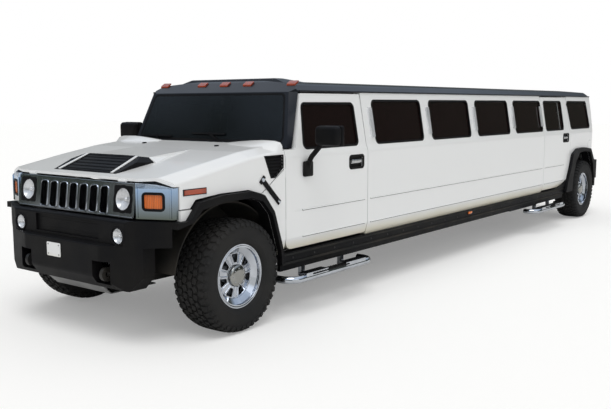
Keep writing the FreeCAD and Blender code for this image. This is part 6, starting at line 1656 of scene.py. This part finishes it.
def gate_trim():
    """The pull in the tailgate's tray, its liner and the wiper."""
    bm = bmesh.new()
    gather(bm, block(0.012, 0.170, 0.024, 0.005), shift(-4.372, 0.0, 1.005))
    gather(bm, block(0.003, 0.232, 0.064, 0.0), shift(-4.3525, 0.0, 1.005))
    gather(bm, gate_loop(0.120, 0.970, 1.040, 0.018, strip(0.014, 0.004, 0.004)))
    gather(bm, disc(0.022, 0.016, 20, 0.004), shift(-4.370, 0.0, 1.292) @ BACK)
    gather(bm, sweep([(-4.384, 0.0, 1.292), (-4.388, 0.160, 1.330), (-4.382, 0.300, 1.352)],
                     ring(0.005, 6)))
    gather(bm, sweep([(-4.378, 0.120, 1.336), (-4.378, 0.480, 1.380)], strip(0.010, 0.008),
                     up=BACKWARD))
    return bm


def gate_creases():
    """Two level creases across the tailgate."""
    bm = bmesh.new()
    for z in (1.100, 1.255):
        gather(bm, sweep([(GATE_X, -0.690, z), (GATE_X, 0.690, z)], strip(0.010, 0.004, 0.002),
                         up=BACKWARD))
    return bm


piece("rear_step_ribs", step_ribs(), "black_plastic", "root")
piece("tailgate_trim", gate_trim(), "black_plastic", "tailgate_lid", sharp=45.0)
piece("rear_blank_plate", blank_plate(-0.158, 0.158, 0.862, 0.950, -4.3740), "white_paint",
      "tailgate_lid")
piece("tailgate_creases", gate_creases(), "white_paint", "tailgate_lid")

# %% Tail lamps and roof lamps
TAIL_LAMP_IN, TAIL_LAMP_OUT = 0.784, 0.874


def tail_ribs():
    """Level ribs on the red lenses, with room for the clear lamp."""
    bm = bmesh.new()
    for n in range(9):
        z = 0.965 + 0.022 * n + (0.060 if n > 3 else 0.0)
        gather(bm, sweep([(-4.379, 0.790, z), (-4.379, 0.868, z)], strip(0.012, 0.003, 0.001),
                         up=BACKWARD))
    return both_sides(bm)


def tail_rims():
    """A dark rim round each tail lamp."""
    loop = rounded([(TAIL_LAMP_IN, 0.940), (TAIL_LAMP_OUT, 0.940), (TAIL_LAMP_OUT, 1.270),
                    (TAIL_LAMP_IN, 1.270)], 0.012, 4)
    return both_sides(here(sweep([(-4.3775, p.x, p.y) for p in loop],
                                 strip(0.012, 0.005, 0.004), up=BACKWARD, closed=True)))


def roof_reds():
    """Five red lamps along the roof's rear edge, the outer two lower."""
    places = [shift(-4.372, y, 1.862 - 0.020 * (abs(y) > 0.5))
              for y in (-0.780, -0.120, 0.0, 0.120, 0.780)]
    return here(block(0.030, 0.078, 0.024, 0.006), *places)


reversers = here(block(0.006, 0.078, 0.048, 0.002), shift(-4.379, 0.829, 1.076))
piece("tail_lamp_ribs", tail_ribs(), "red_lens", "root")
piece("tail_lamp_reversers", both_sides(reversers), "lamp_glass", "root")
piece("tail_lamp_rims", tail_rims(), "black_plastic", "root")
piece("rear_roof_lamps", roof_reds(), "red_lens", "root")

# %% Roof rails
drip_rail = sweep([(-4.360, 0.8855, 1.8225), (2.960, 0.8855, 1.8225)],
                  strip(0.014, 0.009, 0.004), up=OUTWARD)
piece("drip_rails", both_sides(here(drip_rail)), "black_paint", "root")

# %% [markdown]
# ## Arch liners
#
# A black lining covers the body's edge inside each arch, between the flare and the wheel house.
# It is a flat band that follows the arch.

# %% Arch liners
ARCH_REACH, ARCH_RISE = 0.470, 0.580
ARCH_FRONT = ((-1.0, 0.05), (-0.98, 0.22), (-0.76, 0.74), (-0.52, 0.94), (-0.25, 1.0),
              (0.37, 1.0), (0.85, 0.94), (1.04, 0.8))
ARCH_REAR = ((1.05, 0.05), (1.0, 0.4), (0.78, 0.76), (0.45, 0.97), (0.0, 1.0),
             (-0.55, 0.95), (-0.86, 0.62), (-0.98, 0.3))


def arch_lining(shares, axle, inner):
    """A thin band inside an arch, from the wheel house out to the flare."""
    bm = bmesh.new()
    path = [Vector((axle + ARCH_REACH * along, (inner + BODY_HALF) / 2.0,
                    HUB_HEIGHT + ARCH_RISE * up)) for along, up in shares]
    middle = Vector((axle, path[0].y, HUB_HEIGHT + 0.15))
    near = [point + (middle - point).normalized() * 0.004 for point in path]
    half = (BODY_HALF - inner) / 2.0
    rings = []
    for point in near:
        out = (point - middle).normalized() * 0.0025
        side = Vector((0.0, half, 0.0))
        rings.append([bm.verts.new(point + offset) for offset in
                      (out + side, out - side, -out - side, -out + side)])
    for one, two in zip(rings, rings[1:]):
        for n in range(4):
            bm.faces.new((one[n], one[(n + 1) % 4], two[(n + 1) % 4], two[n]))
    bm.faces.new(rings[0][::-1])
    bm.faces.new(rings[-1])
    return bm


linings = arch_lining(ARCH_FRONT[:6], FRONT_AXLE, 0.886)
gather(linings, arch_lining(ARCH_REAR[1:], REAR_AXLE, 0.886))
piece("arch_linings", both_sides(linings), "black_plastic", "root")

# %% [markdown]
# ## Cabin
#
# Little of the cabin shows through the dark panes, but the doors open on it. The doors get
# trim cards with an armrest and a pull. The dashboard gets its binnacle, vents and dials, and
# the ceiling gets a lining.

# %% Door cards
def door_card(rear, fore, low, high):
    """A padded panel, an armrest, a pull and a speaker ring on a door's inner face."""
    bm = bmesh.new()
    face, length = 0.8165, fore - rear
    middle, height = (rear + fore) / 2.0, (low + high) / 2.0
    speaker = middle + length * 0.24
    gather(bm, block(length, 0.012, high - low, 0.006, 2), shift(middle, face, height))
    gather(bm, block(length * 0.62, 0.050, 0.070, 0.018, 3), shift(middle, face - 0.028, 1.060))
    gather(bm, block(length * 0.80, 0.014, 0.190, 0.007, 2), shift(middle, face - 0.006, 1.170))
    gather(bm, sweep(arc((speaker, face - 0.008, 0.760), 0.078, 0.0, 348.75, 31),
                     ring(0.006, 6), closed=True))
    gather(bm, disc(0.072, 0.005, 32, 0.001), shift(speaker, face - 0.010, 0.760))
    gather(bm, block(0.090, 0.010, 0.026, 0.004, 2),
           shift(middle + length * 0.30, face - 0.014, 1.185))
    return bm


for side, sign, flip in SIDES:
    for end, rear, fore in (("front", 2.155, 3.090), ("rear", -3.130, -2.400)):
        piece(f"{end}_{side}_door_card", here(door_card(rear, fore, 0.600, 1.290), flip),
              "cabin_plastic", f"{end}_{side}_door")

# %% Dashboard
def dash_parts():
    """The binnacle over the dials, the centre stack, the vents and the glove box."""
    bm = bmesh.new()
    gather(bm, block(0.160, 0.380, 0.060, 0.022, 3), shift(2.720, 0.400, 1.345))
    gather(bm, block(0.020, 0.300, 0.260, 0.006, 2), shift(2.606, 0.0, 1.120))
    gather(bm, block(0.016, 0.420, 0.200, 0.008, 2), shift(2.608, -0.480, 1.030))
    for y in (-0.800, -0.200, 0.130, 0.790):
        gather(bm, block(0.014, 0.120, 0.070, 0.005, 2), shift(2.605, y, 1.255))
        for n in range(4):
            gather(bm, block(0.008, 0.104, 0.004, 0.001, 1), shift(2.597, y, 1.234 + 0.014 * n))
    return bm


def dash_dials():
    """Plain round dials behind the steering wheel and knobs on the centre stack."""
    bm = bmesh.new()
    for y, radius in ((0.320, 0.048), (0.440, 0.048), (0.520, 0.026), (0.245, 0.026)):
        rim = sweep(arc((0.0, 0.0, 0.0), radius, 0.0, 345.0, 23), ring(0.003, 6), closed=True)
        gather(bm, rim, shift(2.622, y, 1.268) @ turn(90.0, "Z"))
    for y in (-0.080, 0.0, 0.080):
        gather(bm, disc(0.020, 0.014, 20, 0.003), shift(2.598, y, 1.060) @ turn(90.0, "Z"))
    return bm


piece("dashboard_trim", dash_parts(), "cabin_plastic", "root")
piece("dashboard_dials", dash_dials(), "bright_trim", "root")

# %% Headlining
def headlining():
    """A thin sheet under the roof with five cross ribs."""
    bm = here(block(4.000, 1.560, 0.004, 0.001, 1), shift(-0.100, 0.0, 1.8105))
    ribs = [shift(x, 0.0, 1.8065) for x in (1.500, 0.700, -0.100, -0.900, -1.700)]
    gather(bm, block(0.030, 1.540, 0.010, 0.003, 1), *ribs)
    return bm


piece("headlining", headlining(), "cabin_plastic", "root")

# %% [markdown]
# ## Running gear
#
# Coil springs and shock absorbers stand between the axles and the frame. A spring is one tube
# swept along a helix. The engine block gets a cover, eight intake runners and a front pulley.

# %% Springs and dampers
COIL_SIDES = 14
SUSPENSION_SIDE = 0.520


def coil(radius, low, high, turns, wire):
    """A coil spring about the Z axis."""
    steps = turns * COIL_SIDES
    path = [(radius * math.cos(math.tau * n / COIL_SIDES),
             radius * math.sin(math.tau * n / COIL_SIDES),
             low + (high - low) * n / steps) for n in range(steps + 1)]
    return sweep(path, ring(wire, 6))


def damper(low, high):
    """A shock absorber about the Z axis, its shield above its tube."""
    half = (high - low) / 2.0
    bm = turned([(0.0, 0.0), (0.0, 0.024), (half * 1.10, 0.024), (half * 1.10, 0.0)], 16)
    gather(bm, turned([(half, 0.0), (half, 0.032), (half * 2.0, 0.032), (half * 2.0, 0.0)], 16))
    return here(bm, shift(0.0, 0.0, low) @ turn(90.0, "X"))


springs, dampers = bmesh.new(), bmesh.new()
for station in (FRONT_AXLE, REAR_AXLE):
    gather(springs, coil(0.062, 0.470, 0.660, 5, 0.0075), shift(station, SUSPENSION_SIDE, 0.0))
    gather(dampers, damper(0.430, 0.660), shift(station - 0.110, SUSPENSION_SIDE, 0.0))
piece("coil_springs", both_sides(springs), "frame_black", "root")
piece("dampers", both_sides(dampers), "bare_metal", "root")

# %% Engine dress
engine = bmesh.new()
gather(engine, block(0.520, 0.300, 0.045, 0.015, 3), shift(3.760, 0.0, 1.045))
for sign in (1.0, -1.0):
    for n in range(4):
        path = arc((3.560 + 0.130 * n, 0.160 * sign, 1.000), 0.055, 0.0, 180.0, 8, "X")
        gather(engine, sweep(path, ring(0.021, 8)))
gather(engine, here(disc(0.075, 0.045, 28, 0.008), AHEAD), shift(4.118, 0.0, 0.640))
piece("engine_dress", engine, "engine_metal", "root")
